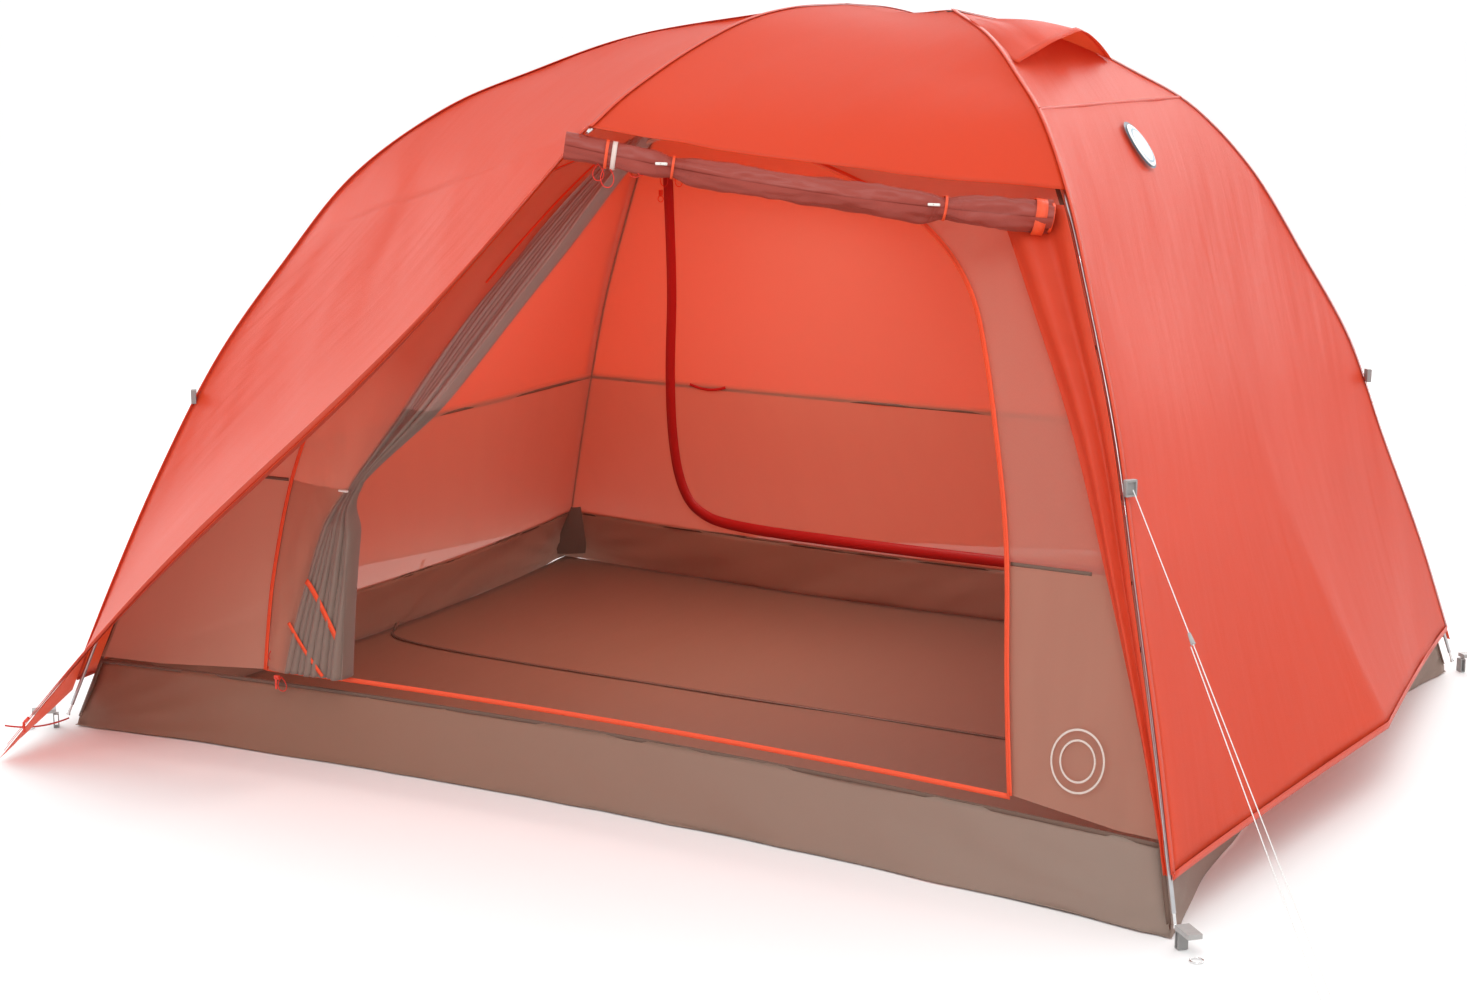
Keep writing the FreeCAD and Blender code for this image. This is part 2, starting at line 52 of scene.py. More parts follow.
# ---- Camera ------------------------------------------------------------------------------------
# The camera stands in front of the open door, right of the middle, at the height of the ridge.
CAMERA_PLACE = (2.884, -5.351, 1.762)
CAMERA_TURN = (math.radians(90 - 11.422), 0.0, math.radians(29.666))
bpy.ops.object.camera_add(location=CAMERA_PLACE, rotation=CAMERA_TURN)
camera = bpy.context.object
camera.data.sensor_width = 36.0
camera.data.lens = 58.45
bpy.context.scene.camera = camera
bpy.context.scene.view_settings.view_transform = "Standard"


# ---- Materials: the way every finish is written ------------------------------------------------
# Each finish is one principled shader.  Its maths is written as expressions on sockets, and every
# other node is made by one method.
class Shade:
    """A socket of a material, so that shader maths reads as Python."""

    def __init__(self, finish, socket):
        self.finish = finish
        self.socket = socket

    def math(self, operation, other, reverse=False):
        first, second = (other, self) if reverse else (self, other)
        return self.finish.node("ShaderNodeMath", {"operation": operation}, {0: first, 1: second})

    def __add__(self, other):
        return self.math("ADD", other)

    __radd__ = __add__

    def __mul__(self, other):
        return self.math("MULTIPLY", other)

    __rmul__ = __mul__

    def __rsub__(self, other):
        return self.math("SUBTRACT", other, reverse=True)

    def __gt__(self, other):
        return self.math("GREATER_THAN", other)


class Finish:
    """A material and its principled shader."""

    def __init__(self, name, **settings):
        self.material = bpy.data.materials.new(name)
        self.material.use_nodes = True
        self.tree = self.material.node_tree
        self.shader = self.tree.nodes["Principled BSDF"]
        self.output = self.tree.nodes["Material Output"]
        for socket, value in settings.items():
            self.set(socket.replace("_", " "), value)

    def node(self, kind, settings, inputs, output=0):
        made = self.tree.nodes.new(kind)
        for key, value in settings.items():
            if key == "stops":
                for stop, (place, colour) in zip(made.color_ramp.elements, value):
                    stop.position = place
                    stop.color = colour
            else:
                setattr(made, key, value)
        for key, value in inputs.items():
            if isinstance(value, Shade):
                self.tree.links.new(value.socket, made.inputs[key])
            else:
                made.inputs[key].default_value = value
        return Shade(self, made.outputs[output])

    def set(self, socket, value):
        if isinstance(value, Shade):
            self.tree.links.new(value.socket, self.shader.inputs[socket])
        else:
            self.shader.inputs[socket].default_value = value

    def place(self):
        return self.node("ShaderNodeTexCoord", {}, {}, "Object")

    def cloth_place(self):
        return self.node("ShaderNodeTexCoord", {}, {}, "UV")

    def cloud(self, vector, scale, detail=4.0):
        sockets = {"Vector": vector, "Scale": scale, "Detail": detail}
        return self.node("ShaderNodeTexNoise", {}, sockets, "Fac")

    def stretched(self, vector, scale, turn=0.0):
        sockets = {"Vector": vector, "Scale": scale, "Rotation": (0, 0, turn)}
        return self.node("ShaderNodeMapping", {}, sockets)

    def mix(self, factor, first, second):
        sockets = {"Factor": factor, 6: first, 7: second}
        return self.node("ShaderNodeMix", {"data_type": "RGBA"}, sockets, 2)

    def bump(self, height, strength, distance):
        sockets = {"Height": height, "Strength": strength, "Distance": distance}
        return self.node("ShaderNodeBump", {}, sockets, "Normal")

    def let_light_through(self, colour, share):
        """Mixes in light that comes through the cloth from its other side."""
        glow = self.node("ShaderNodeBsdfTranslucent", {}, {"Color": colour})
        surface = Shade(self, self.shader.outputs[0])
        mixed = self.node("ShaderNodeMixShader", {}, {0: share, 1: surface, 2: glow})
        self.tree.links.new(mixed.socket, self.output.inputs["Surface"])


def put(piece, finish):
    piece.data.materials.clear()
    piece.data.materials.append(finish.material)


# ---- Guyline -----------------------------------------------------------------------------------
# Thin reflective cord, knotted to the tab on the front right pole.  It runs tight to the ground,
# turns round where a stake would hold it, and comes back up to the line tensioner.
GUY_THICKNESS = 0.0022
guy_route = [
    (1.2649, -0.8934, 0.8380),
    (1.8843, -1.4307, 0.0181),
    (1.8950, -1.4400, 0.0040),
    (1.8809, -1.4595, 0.0019),
    (1.8705, -1.4499, 0.0160),
    (1.4556, -1.0681, 0.5795),
]


def round_cord(name, route, thickness, steps, round_steps):
    """A round cord that bends smoothly along a route."""
    curve = bpy.data.curves.new(name, "CURVE")
    curve.dimensions = "3D"
    spline = curve.splines.new("NURBS")
    spline.points.add(len(route) - 1)
    for knot, place in zip(spline.points, route):
        knot.co = (*place, 1.0)
    spline.order_u = 3
    spline.use_endpoint_u = True
    curve.resolution_u = steps
    curve.bevel_depth = thickness / 2
    curve.bevel_resolution = round_steps
    piece = bpy.data.objects.new(name, curve)
    bpy.context.collection.objects.link(piece)
    return piece


guyline = round_cord("guyline_cord", guy_route, GUY_THICKNESS, 16, 3)
braid = Finish("guy_braid", Roughness=0.45)
strands = braid.node("ShaderNodeTexWave", {"wave_type": "BANDS", "bands_direction": "DIAGONAL"},
                     {"Vector": braid.place(), "Scale": 420.0}, "Fac")
braid.set("Base Color", braid.mix(strands, (0.62, 0.62, 0.60, 1), (0.90, 0.90, 0.88, 1)))
braid.set("Normal", braid.bump(strands, 0.4, 0.0004))
put(guyline, braid)
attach(guyline, "pitched_tent")
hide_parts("guyline")

# ---- Lines of the bent poles -------------------------------------------------------------------
# Four legs leave the floor's corners and bend over to two hubs on the ridge.  The brow pole
# crosses the ridge from front to back.  All the cloth hangs from these lines.
HALF_WIDTH = 1.475
HALF_DEPTH = 1.1375
PEAK = 1.771
HUB_X = {"left": 0.0, "right": 0.444}
BROW_X = 0.150
BROW_REACH = 1.150
BROW_TOP = 1.791
BROW_DROP = 0.255
LEG_HEIGHTS = (0.0, 0.20, 0.37, 0.525, 0.655, 0.775, 0.864, 0.915, 0.966, 1.0)
LEG_INSETS = {
    "right": (0.0, 0.09, 0.18, 0.26, 0.36, 0.46, 0.57, 0.68, 0.82, 1.0),
    "left": (0.0, 0.08, 0.155, 0.235, 0.325, 0.42, 0.54, 0.655, 0.80, 1.0),
}
BROW_REACHES = (0.0, 0.22, 0.43, 0.65, 0.87, 1.0)
BROW_DROPS = (0.0, 0.035, 0.155, 0.405, 0.74, 1.0)
TOP_STEP = len(LEG_HEIGHTS) - 1
BROW_STEP = len(BROW_REACHES) - 1


def smooth(values, step):
    """A smooth line through evenly spaced values, read at a step between them."""
    last = len(values) - 1
    low = int(min(max(math.floor(step), 0), last - 1))
    part = step - low
    before = values[low - 1] if low > 0 else 2 * values[0] - values[1]
    after = values[low + 2] if low + 2 <= last else 2 * values[last] - values[last - 1]
    here, there = values[low], values[low + 1]
    bend = (there - here) * 3 - (after - here) * 0.5 - (there - before)
    twist = (here - there) * 2 + (after - here) * 0.5 + (there - before) * 0.5
    return here + (there - before) * 0.5 * part + bend * part ** 2 + twist * part ** 3


def leg_line(side, along, step):
    inset = smooth(LEG_INSETS[side], step)
    corner_x = HALF_WIDTH if side == "right" else -HALF_WIDTH
    across = corner_x + (HUB_X[side] - corner_x) * inset
    return np.array([across, along * HALF_DEPTH * (1 - inset), smooth(LEG_HEIGHTS, step) * PEAK])


def leg(side, along, step, out=0.0):
    """Point of a leg, moved out square to the pole in the pole's own upright plane."""
    point = leg_line(side, along, step)
    above = leg_line(side, along, min(step + 0.05, TOP_STEP))
    rise = above - leg_line(side, along, max(step - 0.05, 0.0))
    rise = rise / np.linalg.norm(rise)
    level = rise.copy()
    level[2] = 0.0
    level = -level / np.linalg.norm(level)
    normal = level * rise[2] + np.array([0, 0, 1]) * -float(rise @ level)
    return point + normal * out


def brow(along, step, out=0.0):
    reach = smooth(BROW_REACHES, step) * BROW_REACH
    height = BROW_TOP + out * 0.5 - smooth(BROW_DROPS, step) * BROW_DROP
    return np.array([BROW_X, along * (reach + out * 0.3), height])


step_table = np.linspace(0, TOP_STEP, 400)
height_table = [smooth(LEG_HEIGHTS, step) * PEAK for step in step_table]


def step_at(height):
    return float(np.interp(height, height_table, step_table))


# ---- Fly ---------------------------------------------------------------------------------------
# Coated orange ripstop, cut in six panels that are felled together over the poles, so it is
# one tight skin.  Its hem is pulled out at the middle of each end.
FLY_OUT = 0.012
HEM_STEP = 0.34
STAKE_FRONT = np.array([-1.385, -1.435, 0.012])
STAKE_BACK = np.array([BROW_X, 2.05, 0.012])
MIDDLE = np.array([BROW_X, 0.0, 0.5])
SEAM_SHARE = 0.05
GROUND_GAP = 0.003


def normals_of(points):
    down = np.gradient(points, axis=0)
    across = np.gradient(points, axis=1)
    normal = np.cross(across, down)
    length = np.linalg.norm(normal, axis=2, keepdims=True)
    normal = normal / np.maximum(length, 1e-9)
    facing = ((points - MIDDLE) * normal).sum()
    return normal if facing > 0 else -normal


def lengths_along(points):
    """How far each point is along the cloth, down and across, in metres."""
    down = np.zeros(points.shape[:2])
    across = np.zeros(points.shape[:2])
    down[1:] = np.cumsum(np.linalg.norm(np.diff(points, axis=0), axis=2), axis=0)
    across[:, 1:] = np.cumsum(np.linalg.norm(np.diff(points, axis=1), axis=2), axis=1)
    return down, across


def creased(points, depth, down_scale, across_scale, seed, slant=0.0):
    """Lifts soft wrinkles in the cloth; they fade out at the seams."""
    down, across = lengths_along(points)
    normal = normals_of(points)
    rows, columns = points.shape[:2]
    lifted = points.copy()
    for row in range(rows):
        for column in range(columns):
            share = column / (columns - 1)
            edge = min(1.0, min(share, 1 - share) / SEAM_SHARE)
            a = down[row, column]
            b = across[row, column] + slant * a
            wave = noise.noise(Vector((a * down_scale, b * across_scale, seed)))
            fine = noise.noise(Vector((a * down_scale * 2.3, b * across_scale * 2.7, seed + 9)))
            lifted[row, column] += normal[row, column] * depth * edge * (wave + 0.4 * fine)
    lifted[:, :, 2] = np.maximum(lifted[:, :, 2], GROUND_GAP)
    return lifted


def cloth(name, points, inward=False):
    """A mesh through a grid of points, its faces outward and its UV in metres of cloth."""
    rows, columns = points.shape[:2]
    faces = []
    for row in range(rows - 1):
        for column in range(columns - 1):
            first = row * columns + column
            faces.append((first, first + 1, first + columns + 1, first + columns))
    mesh = bpy.data.meshes.new(name)
    mesh.from_pydata([tuple(point) for point in points.reshape(-1, 3)], [], faces)
    down, across = lengths_along(points)
    spread = np.stack([across, down], axis=2).reshape(-1, 2)
    layer = mesh.uv_layers.new(name="UVMap")
    order = np.zeros(len(mesh.loops), dtype=np.int32)
    mesh.loops.foreach_get("vertex_index", order)
    layer.data.foreach_set("uv", spread[order].reshape(-1).astype(np.float32))
    mesh.update()
    from_middle = points[rows // 2, columns // 2] - MIDDLE
    towards = from_middle @ np.array(mesh.polygons[len(faces) // 2].normal)
    if (towards < 0) != inward:
        mesh.flip_normals()
    mesh.shade_smooth()
    piece = bpy.data.objects.new(name, mesh)
    bpy.context.collection.objects.link(piece)
    return piece


def finished(piece, kind, **settings):
    """Adds a modifier and applies it."""
    bpy.ops.object.select_all(action="DESELECT")
    bpy.context.view_layer.objects.active = piece
    piece.select_set(True)
    modifier = piece.modifiers.new(kind.lower(), kind)
    for key, value in settings.items():
        setattr(modifier, key, value)
    bpy.ops.object.modifier_apply(modifier=modifier.name)
    piece.select_set(False)


def joined(name, pieces, merge=0.0):
    bpy.ops.object.select_all(action="DESELECT")
    for piece in pieces:
        piece.select_set(True)
    bpy.context.view_layer.objects.active = pieces[0]
    if len(pieces) > 1:
        bpy.ops.object.join()
    whole = bpy.context.view_layer.objects.active
    whole.name = name
    if merge:
        bpy.ops.object.mode_set(mode="EDIT")
        bpy.ops.mesh.select_all(action="SELECT")
        bpy.ops.mesh.remove_doubles(threshold=merge)
        bpy.ops.object.mode_set(mode="OBJECT")
    whole.select_set(False)
    return whole


def span(first, last, count, shape):
    """A row of points between two lines; shape moves each by its share of the way."""
    row = []
    for share in np.linspace(0, 1, count):
        row.append(first + (last - first) * share + shape(share))
    return row


def dome(share):
    return 4 * share * (1 - share)


FLY_STEPS = np.linspace(TOP_STEP, HEM_STEP, 96)
ROOF_LOW = step_at(1.24)
FRONT_ROOF_LOW = step_at(1.40)
VESTIBULE_HEM = 0.25


def fly_end(side):
    sign = 1 if side == "right" else -1
    rows = []
    for step in FLY_STEPS:
        front, back = leg(side, -1, step, FLY_OUT), leg(side, 1, step, FLY_OUT)
        height = front[2]
        pull = 0.16 * max(0.0, 1 - height / 1.05) ** 1.5
        hang = -0.022 * math.sin(math.pi * min(1.0, height / PEAK))
        lift = 0.05 * max(0.0, 1 - height / 0.60) ** 1.5

        def shape(share, pull=pull, hang=hang, lift=lift):
            peak = (1 - abs(2 * share - 1)) ** 1.15
            return np.array([sign * (pull * peak + hang * dome(share)), 0.0, lift * peak])

        rows.append(span(front, back, 73, shape))
    return np.array(rows)


def zip_edge(stake, share):
    start = brow(-1 if stake[1] < 0 else 1, BROW_STEP, FLY_OUT)
    point = start + (stake - start) * share
    point[2] -= 0.030 * math.sin(2 * math.pi * share)
    return point


def fly_side(side, along, stake):
    """Roof half from the brow pole to a leg, with the vestibule half below it down to the stake."""
    rows = []
    for share in np.linspace(0, 1, 40):
        edge = brow(along, share * BROW_STEP, FLY_OUT)
        pole = leg(side, along, TOP_STEP - (TOP_STEP - ROOF_LOW) * share, FLY_OUT)
        rows.append(span(edge, pole, 65, lambda part: np.array([0, 0, -0.012 * dome(part)])))
    for share in np.linspace(0, 1, 80)[1:]:
        edge = zip_edge(stake, share)
        pole = leg(side, along, ROOF_LOW - (ROOF_LOW - VESTIBULE_HEM) * share, FLY_OUT)
        hang = 0.035 * dome(share)
        rows.append(span(edge, pole, 65, lambda part: np.array([0, -along * hang * dome(part), 0])))
    return np.array(rows)


def fly_front_right():
    rows = []
    for share in np.linspace(0, 1, 60):
        edge = brow(-1, share * BROW_STEP, FLY_OUT)
        pole = leg("right", -1, TOP_STEP - (TOP_STEP - FRONT_ROOF_LOW) * share, FLY_OUT)
        rows.append(span(edge, pole, 73, lambda part: np.array([0, 0, -0.014 * dome(part)])))
    return np.array(rows)


fly_panels = [
    cloth("fly_end_a", creased(fly_end("right"), 0.005, 1.3, 3.2, 1.0, slant=0.9)),
    cloth("fly_end_b", creased(fly_end("left"), 0.006, 1.1, 5.0, 2.0)),
    cloth("fly_front_a", creased(fly_front_right(), 0.005, 1.2, 5.0, 3.0)),
    cloth("fly_front_b",
          creased(fly_side("left", -1, STAKE_FRONT), 0.006, 1.1, 4.5, 4.0, slant=0.9)),
    cloth("fly_back_a", creased(fly_side("right", 1, STAKE_BACK), 0.007, 1.0, 5.0, 5.0)),
    cloth("fly_back_b", creased(fly_side("left", 1, STAKE_BACK), 0.007, 1.0, 5.0, 6.0)),
]
fly = joined("fly_skin", fly_panels, merge=0.0015)
finished(fly, "SOLIDIFY", thickness=0.0008, offset=0.0)


def ripstop(name, colour, deep, share=0.30, threads=190.0, glow=None, painted_light_right=None):
    """Coated nylon: a fine square grid of thicker threads, soft creases and a low sheen."""
    finish = Finish(name, Roughness=0.42, Sheen_Weight=0.05, Specular_IOR_Level=0.45)
    flat = finish.cloth_place()
    grid = finish.node("ShaderNodeTexBrick", {"offset": 0.0}, {
        "Vector": flat, "Scale": threads, "Mortar Size": 0.05, "Mortar Smooth": 0.3,
        "Brick Width": 1.0, "Row Height": 1.0}, "Fac")
    patches = finish.cloud(finish.stretched(flat, (1.2, 0.6, 1.0)), 2.0, 6.0)
    tone = finish.mix(patches, (*colour, 1), (*deep, 1))
    # Painted light: when given, the tone grades along X towards a second colour on the right,
    # standing in for the orange light through the fly that falls more on the left.
    if painted_light_right:
        side = finish.node("ShaderNodeSeparateXYZ", {}, {"Vector": finish.place()}, "X")
        sockets = {"Value": side, "From Min": -0.6, "From Max": 1.3}
        painted_light_share = finish.node("ShaderNodeMapRange", {}, sockets, "Result")
        tone = finish.mix(painted_light_share, tone, (*painted_light_right, 1))
    finish.set("Base Color", finish.mix(grid * 0.14, tone, (*[c * 0.8 for c in colour], 1)))
    finish.set("Roughness", patches * 0.18 + 0.34)
    fine = finish.cloud(finish.stretched(flat, (9.0, 2.5, 1.0)), 3.0, 8.0)
    pulled = finish.cloud(finish.stretched(flat, (11.0, 1.1, 1.0), 0.75), 1.6, 3.0)
    finish.set("Normal", finish.bump(fine * 0.5 + pulled * 1.3 + grid * 0.1, 0.40, 0.005))
    finish.let_light_through((*(glow or colour), 1), share)
    return finish


FLY_ORANGE = (0.82, 0.078, 0.018)
FLY_DEEP = (0.73, 0.064, 0.012)
FLY_GLOW = (1.0, 0.36, 0.20)
fly_nylon = ripstop("fly_nylon", FLY_ORANGE, FLY_DEEP, 0.46, glow=FLY_GLOW)
put(fly, fly_nylon)
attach(fly, "pitched_tent")
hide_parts("fly_end_right", "fly_end_left", "fly_roof_front_left", "fly_roof_front_right",
            "fly_roof_back_left", "fly_roof_back_right", "fly_vestibule_front_left",
            "fly_vestibule_back_left", "fly_vestibule_back_right")


# ---- Fly seams, hems and zip -------------------------------------------------------------------
# Flat felled seams stand a little proud along every pole, and a bound hem runs round the edge.
# The zip of the front vestibule is a woven tape with a coil, under a narrow flap.
TAPE_THICKNESS = 0.0012


def ribbon(name, line, width, lean, rise=0.0):
    """A flat strip of given width along a line; lean is the direction across the strip."""
    line = np.array(line)
    ahead = np.gradient(line, axis=0)
    ahead /= np.linalg.norm(ahead, axis=1, keepdims=True)
    side = np.array(lean, dtype=float)
    side = side - ahead * (ahead @ side)[:, None] if side.ndim == 1 else side
    side /= np.maximum(np.linalg.norm(side, axis=1, keepdims=True), 1e-9)
    face = np.cross(ahead, side)
    flip = np.sign(((line - MIDDLE) * face).sum(axis=1))[:, None]
    lifted = line + face * flip * rise
    rows = [lifted - side * width / 2, lifted, lifted + side * width / 2]
    piece = cloth(name, np.stack(rows, axis=1))
    finished(piece, "SOLIDIFY", thickness=TAPE_THICKNESS, offset=0.0)
    return piece


PANEL_SEAM_ROW = 30
seams = []
for side in ("left", "right"):
    for along in (-1, 1):
        line = [leg(side, along, step, FLY_OUT) for step in np.linspace(TOP_STEP, 0.35, 110)]
        seams.append(ribbon("seam", line, 0.013, (0.25, -along, 0), rise=0.002))
for along in (-1, 1):
    line = [brow(along, step, FLY_OUT) for step in np.linspace(0, BROW_STEP, 50)]
    seams.append(ribbon("seam", line, 0.013, (1, 0, 0), rise=0.002))
for side in ("right", "left"):
    end_panel = fly_end(side)
    seams.append(ribbon("hem", end_panel[-1], 0.016, (0, 0, 1), rise=0.001))
    seams.append(ribbon("panel_seam", end_panel[PANEL_SEAM_ROW], 0.009, (0, 0, 1), rise=0.002))
line = [zip_edge(STAKE_BACK, share) for share in np.linspace(0, 0.99, 60)]
seams.append(ribbon("back_flap", line, 0.110, (1, 0, 0), rise=0.003))
fly_seams = joined("fly_seams", seams)
seam_cloth = ripstop("seam_cloth", (0.80, 0.075, 0.024), (0.62, 0.050, 0.016), 0.12)
put(fly_seams, seam_cloth)
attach(fly_seams, "pitched_tent")

zip_line = [zip_edge(STAKE_FRONT, share) for share in np.linspace(0.01, 0.985, 120)]
zip_flap = ribbon("vestibule_zip_flap", zip_line, 0.030, (0.5, 0, 0.5), rise=0.004)
put(zip_flap, ripstop("zip_flap_cloth", (0.70, 0.070, 0.022), (0.55, 0.05, 0.02), 0.10))
zip_tape = ribbon("vestibule_zip_tape", [point + np.array([0.010, 0, 0.012]) for point in zip_line],
                  0.014, (0.5, 0, 0.5), rise=0.006)
coil = Finish("orange_coil", Roughness=0.4)
teeth = coil.node("ShaderNodeTexWave", {"bands_direction": "Y"},
                  {"Vector": coil.cloth_place(), "Scale": 260.0}, "Fac")
coil.set("Base Color", coil.mix(teeth, (0.80, 0.050, 0.012, 1), (0.95, 0.115, 0.030, 1)))
coil.set("Normal", coil.bump(teeth, 0.5, 0.0008))
put(zip_tape, coil)
for piece, slot in ((zip_flap, "fly_fabric"), (zip_tape, "orange_zip")):
    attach(piece, "pitched_tent")
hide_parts("vestibule_zip")

# ---- Bathtub -----------------------------------------------------------------------------------
# One tray of heavy grey coated nylon: the groundsheet with its four low walls turned up.
INNER_OUT = -0.030
TUB_TOP = 0.180
TUB_SAG = 0.095
WALL_SAG = 0.02
SAG_FADE = 0.75
SIDES = {
    "front": (("left", -1), ("right", -1), np.array([0, 1.0, 0])),
    "right": (("right", -1), ("right", 1), np.array([-1.0, 0, 0])),
    "back": (("right", 1), ("left", 1), np.array([0, -1.0, 0])),
    "left": (("left", 1), ("left", -1), np.array([1.0, 0, 0])),
}


def wall_row(name, height, count):
    """Points across an inner wall at a height, drawn in towards the middle between its poles."""
    first, second, inward = SIDES[name]
    step = step_at(height)
    start, end = leg(*first, step, INNER_OUT), leg(*second, step, INNER_OUT)
    fade = max(0.0, 1 - max(0.0, height - TUB_TOP) / SAG_FADE) ** 2
    sag = WALL_SAG + (TUB_SAG - WALL_SAG) * fade
    return span(start, end, count, lambda share: inward * sag * dome(share))


tub_parts = []
floor_rows = []
for down in np.linspace(0, 1, 61):
    row = []
    for across in np.linspace(0, 1, 81):
        x = (HALF_WIDTH - 0.03) * (2 * across - 1) * (1 - TUB_SAG / HALF_WIDTH * dome(down))
        y = (HALF_DEPTH - 0.025) * (2 * down - 1) * (1 - TUB_SAG / HALF_DEPTH * dome(across))
        swell = 0.004 * (noise.noise(Vector((x * 2.2, y * 1.6, 3.0))) + 0.6)
        row.append((x, y, 0.0025 + max(0.0, swell)))
    floor_rows.append(row)
tub_parts.append(cloth("tub_sheet", np.array(floor_rows), inward=True))
for name in SIDES:
    rows = [wall_row(name, height, 90) for height in np.linspace(0.004, TUB_TOP, 14)]
    grid = np.array(rows)
    base = np.array(wall_row(name, 0.004, 90))
    folded = creased(grid, 0.010, 5.0, 4.0, 11.0, slant=1.5)
    facing = normals_of(grid)
    for row in range(grid.shape[0]):
        for column in range(grid.shape[1]):
            for end in (0, -1):
                reach = float(np.linalg.norm(grid[row, column] - base[end]))
                rise = math.atan2(grid[row, column][2], max(reach, 0.02))
                fan = math.sin(rise * 34 + 3 * noise.noise(Vector((reach * 3, end, 2.0))))
                fan *= math.exp(-reach / 0.35) * min(1, reach / 0.05)
                folded[row, column] += facing[row, column] * 0.005 * fan
    tub_parts.append(cloth("tub_side", folded))
tub = joined("bathtub", tub_parts)
finished(tub, "SOLIDIFY", thickness=0.001, offset=0.0)
# Painted light: the grey nylon is coloured warm brown for the orange light that comes through the
# fly, and grades greyer towards the right.
tub_nylon = ripstop("tub_nylon", (0.340, 0.190, 0.130), (0.300, 0.160, 0.105), 0.35,
                    threads=240.0, painted_light_right=(0.36, 0.27, 0.22), glow=(0.80, 0.58, 0.50))
put(tub, tub_nylon)
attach(tub, "pitched_tent")
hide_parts("tub_floor", "tub_wall_front", "tub_wall_right", "tub_wall_back", "tub_wall_left")

# ---- Inner walls -------------------------------------------------------------------------------
# Light grey nylon up to knee height and sheer mesh above it.  The front wall has the tall door
# opening, bound by the zip.
MESH_LINE = 0.66
door_edge = [
    (-0.900, 0.200), (-0.893, 0.45), (-0.860, 0.72), (-0.770, 0.97), (-0.600, 1.19), (-0.350, 1.39),
    (-0.100, 1.485), (0.100, 1.505), (0.330, 1.455), (0.550, 1.385), (0.700, 1.305), (0.810, 1.20),
    (0.885, 1.06), (0.950, 0.88), (1.000, 0.68), (1.040, 0.42), (1.072, 0.205),
]
door_x = [x for x, z in door_edge]
door_z = [z for x, z in door_edge]
DOOR_LAST = len(door_edge) - 1


def wall_depth(name, x, z):
    """How far back the front or back wall is, at a place on it."""
    row = wall_row(name, z, 2)
    share = (x - row[0][0]) / (row[1][0] - row[0][0])
    full = wall_row(name, z, 3)
    sag = full[1][1] - (row[0][1] + row[1][1]) / 2
    return row[0][1] + (row[1][1] - row[0][1]) * share + sag * dome(min(max(share, 0), 1))


def on_wall(name, x, z, proud=0.0):
    return np.array([x, wall_depth(name, x, z) + (-proud if name == "front" else proud), z])


WALL_TOP = 1.745
SIDE_SHARE = 0.44


def rim_point(side, share):
    """A place on a front leg, by its share of the way up from the bathtub to the wall's top."""
    height = TUB_TOP + (WALL_TOP - TUB_TOP) * (share / SIDE_SHARE) ** 0.8
    return leg(side, -1, step_at(height), INNER_OUT)


front_rows = []
for turn in np.linspace(0, DOOR_LAST, 150):
    edge_x, edge_z = smooth(door_x, turn), smooth(door_z, turn)
    share = turn / DOOR_LAST
    if share < SIDE_SHARE:
        rim = rim_point("left", share)
    elif share > 1 - SIDE_SHARE:
        rim = rim_point("right", 1 - share)
    else:
        first, last = rim_point("left", SIDE_SHARE), rim_point("right", SIDE_SHARE)
        rim = first + (last - first) * (share - SIDE_SHARE) / (1 - 2 * SIDE_SHARE)
    row = []
    for part in np.linspace(0, 1, 26):
        x, z = edge_x + (rim[0] - edge_x) * part, edge_z + (rim[2] - edge_z) * part
        row.append(on_wall("front", x, max(z, TUB_TOP)))
    front_rows.append(row)
inner_parts = [cloth("inner_front", creased(np.array(front_rows), 0.005, 3.0, 4.0, 21.0))]
for name in ("right", "back", "left"):
    rows = [wall_row(name, height, 70) for height in np.linspace(TUB_TOP, WALL_TOP, 80)]
    wall = creased(np.array(rows), 0.007, 1.5, 3.5, 23.0, slant=0.4)
    inner_parts.append(cloth("inner_" + name, wall))
inner = joined("inner_walls", inner_parts)
inner_cloth = Finish("inner_cloth", Roughness=0.6, Sheen_Weight=0.2)
height_of = inner_cloth.node("ShaderNodeSeparateXYZ", {}, {"Vector": inner_cloth.place()}, "Z")
is_mesh = height_of > MESH_LINE
weave = inner_cloth.cloud(inner_cloth.cloth_place(), 900.0, 1.0)
folds = inner_cloth.cloud(inner_cloth.stretched(inner_cloth.cloth_place(), (6.0, 1.5, 1)), 2.0, 6.0)
# Painted light: the light grey nylon and the mesh take a warm pink and brown tint for the orange
# light that comes through the fly.
tone = inner_cloth.mix(folds, (0.50, 0.30, 0.215, 1), (0.40, 0.235, 0.17, 1))
inner_cloth.set("Base Color", inner_cloth.mix(is_mesh, tone, (0.95, 0.66, 0.54, 1)))
inner_cloth.set("Alpha", 0.88 - is_mesh * (0.46 + weave * 0.30))
inner_cloth.set("Normal", inner_cloth.bump(folds, 0.4, 0.004))
inner_cloth.let_light_through((0.95, 0.66, 0.54, 1), 0.50)
put(inner, inner_cloth)
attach(inner, "pitched_tent")
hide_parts("inner_wall_front", "inner_wall_right", "inner_wall_back", "inner_wall_left")

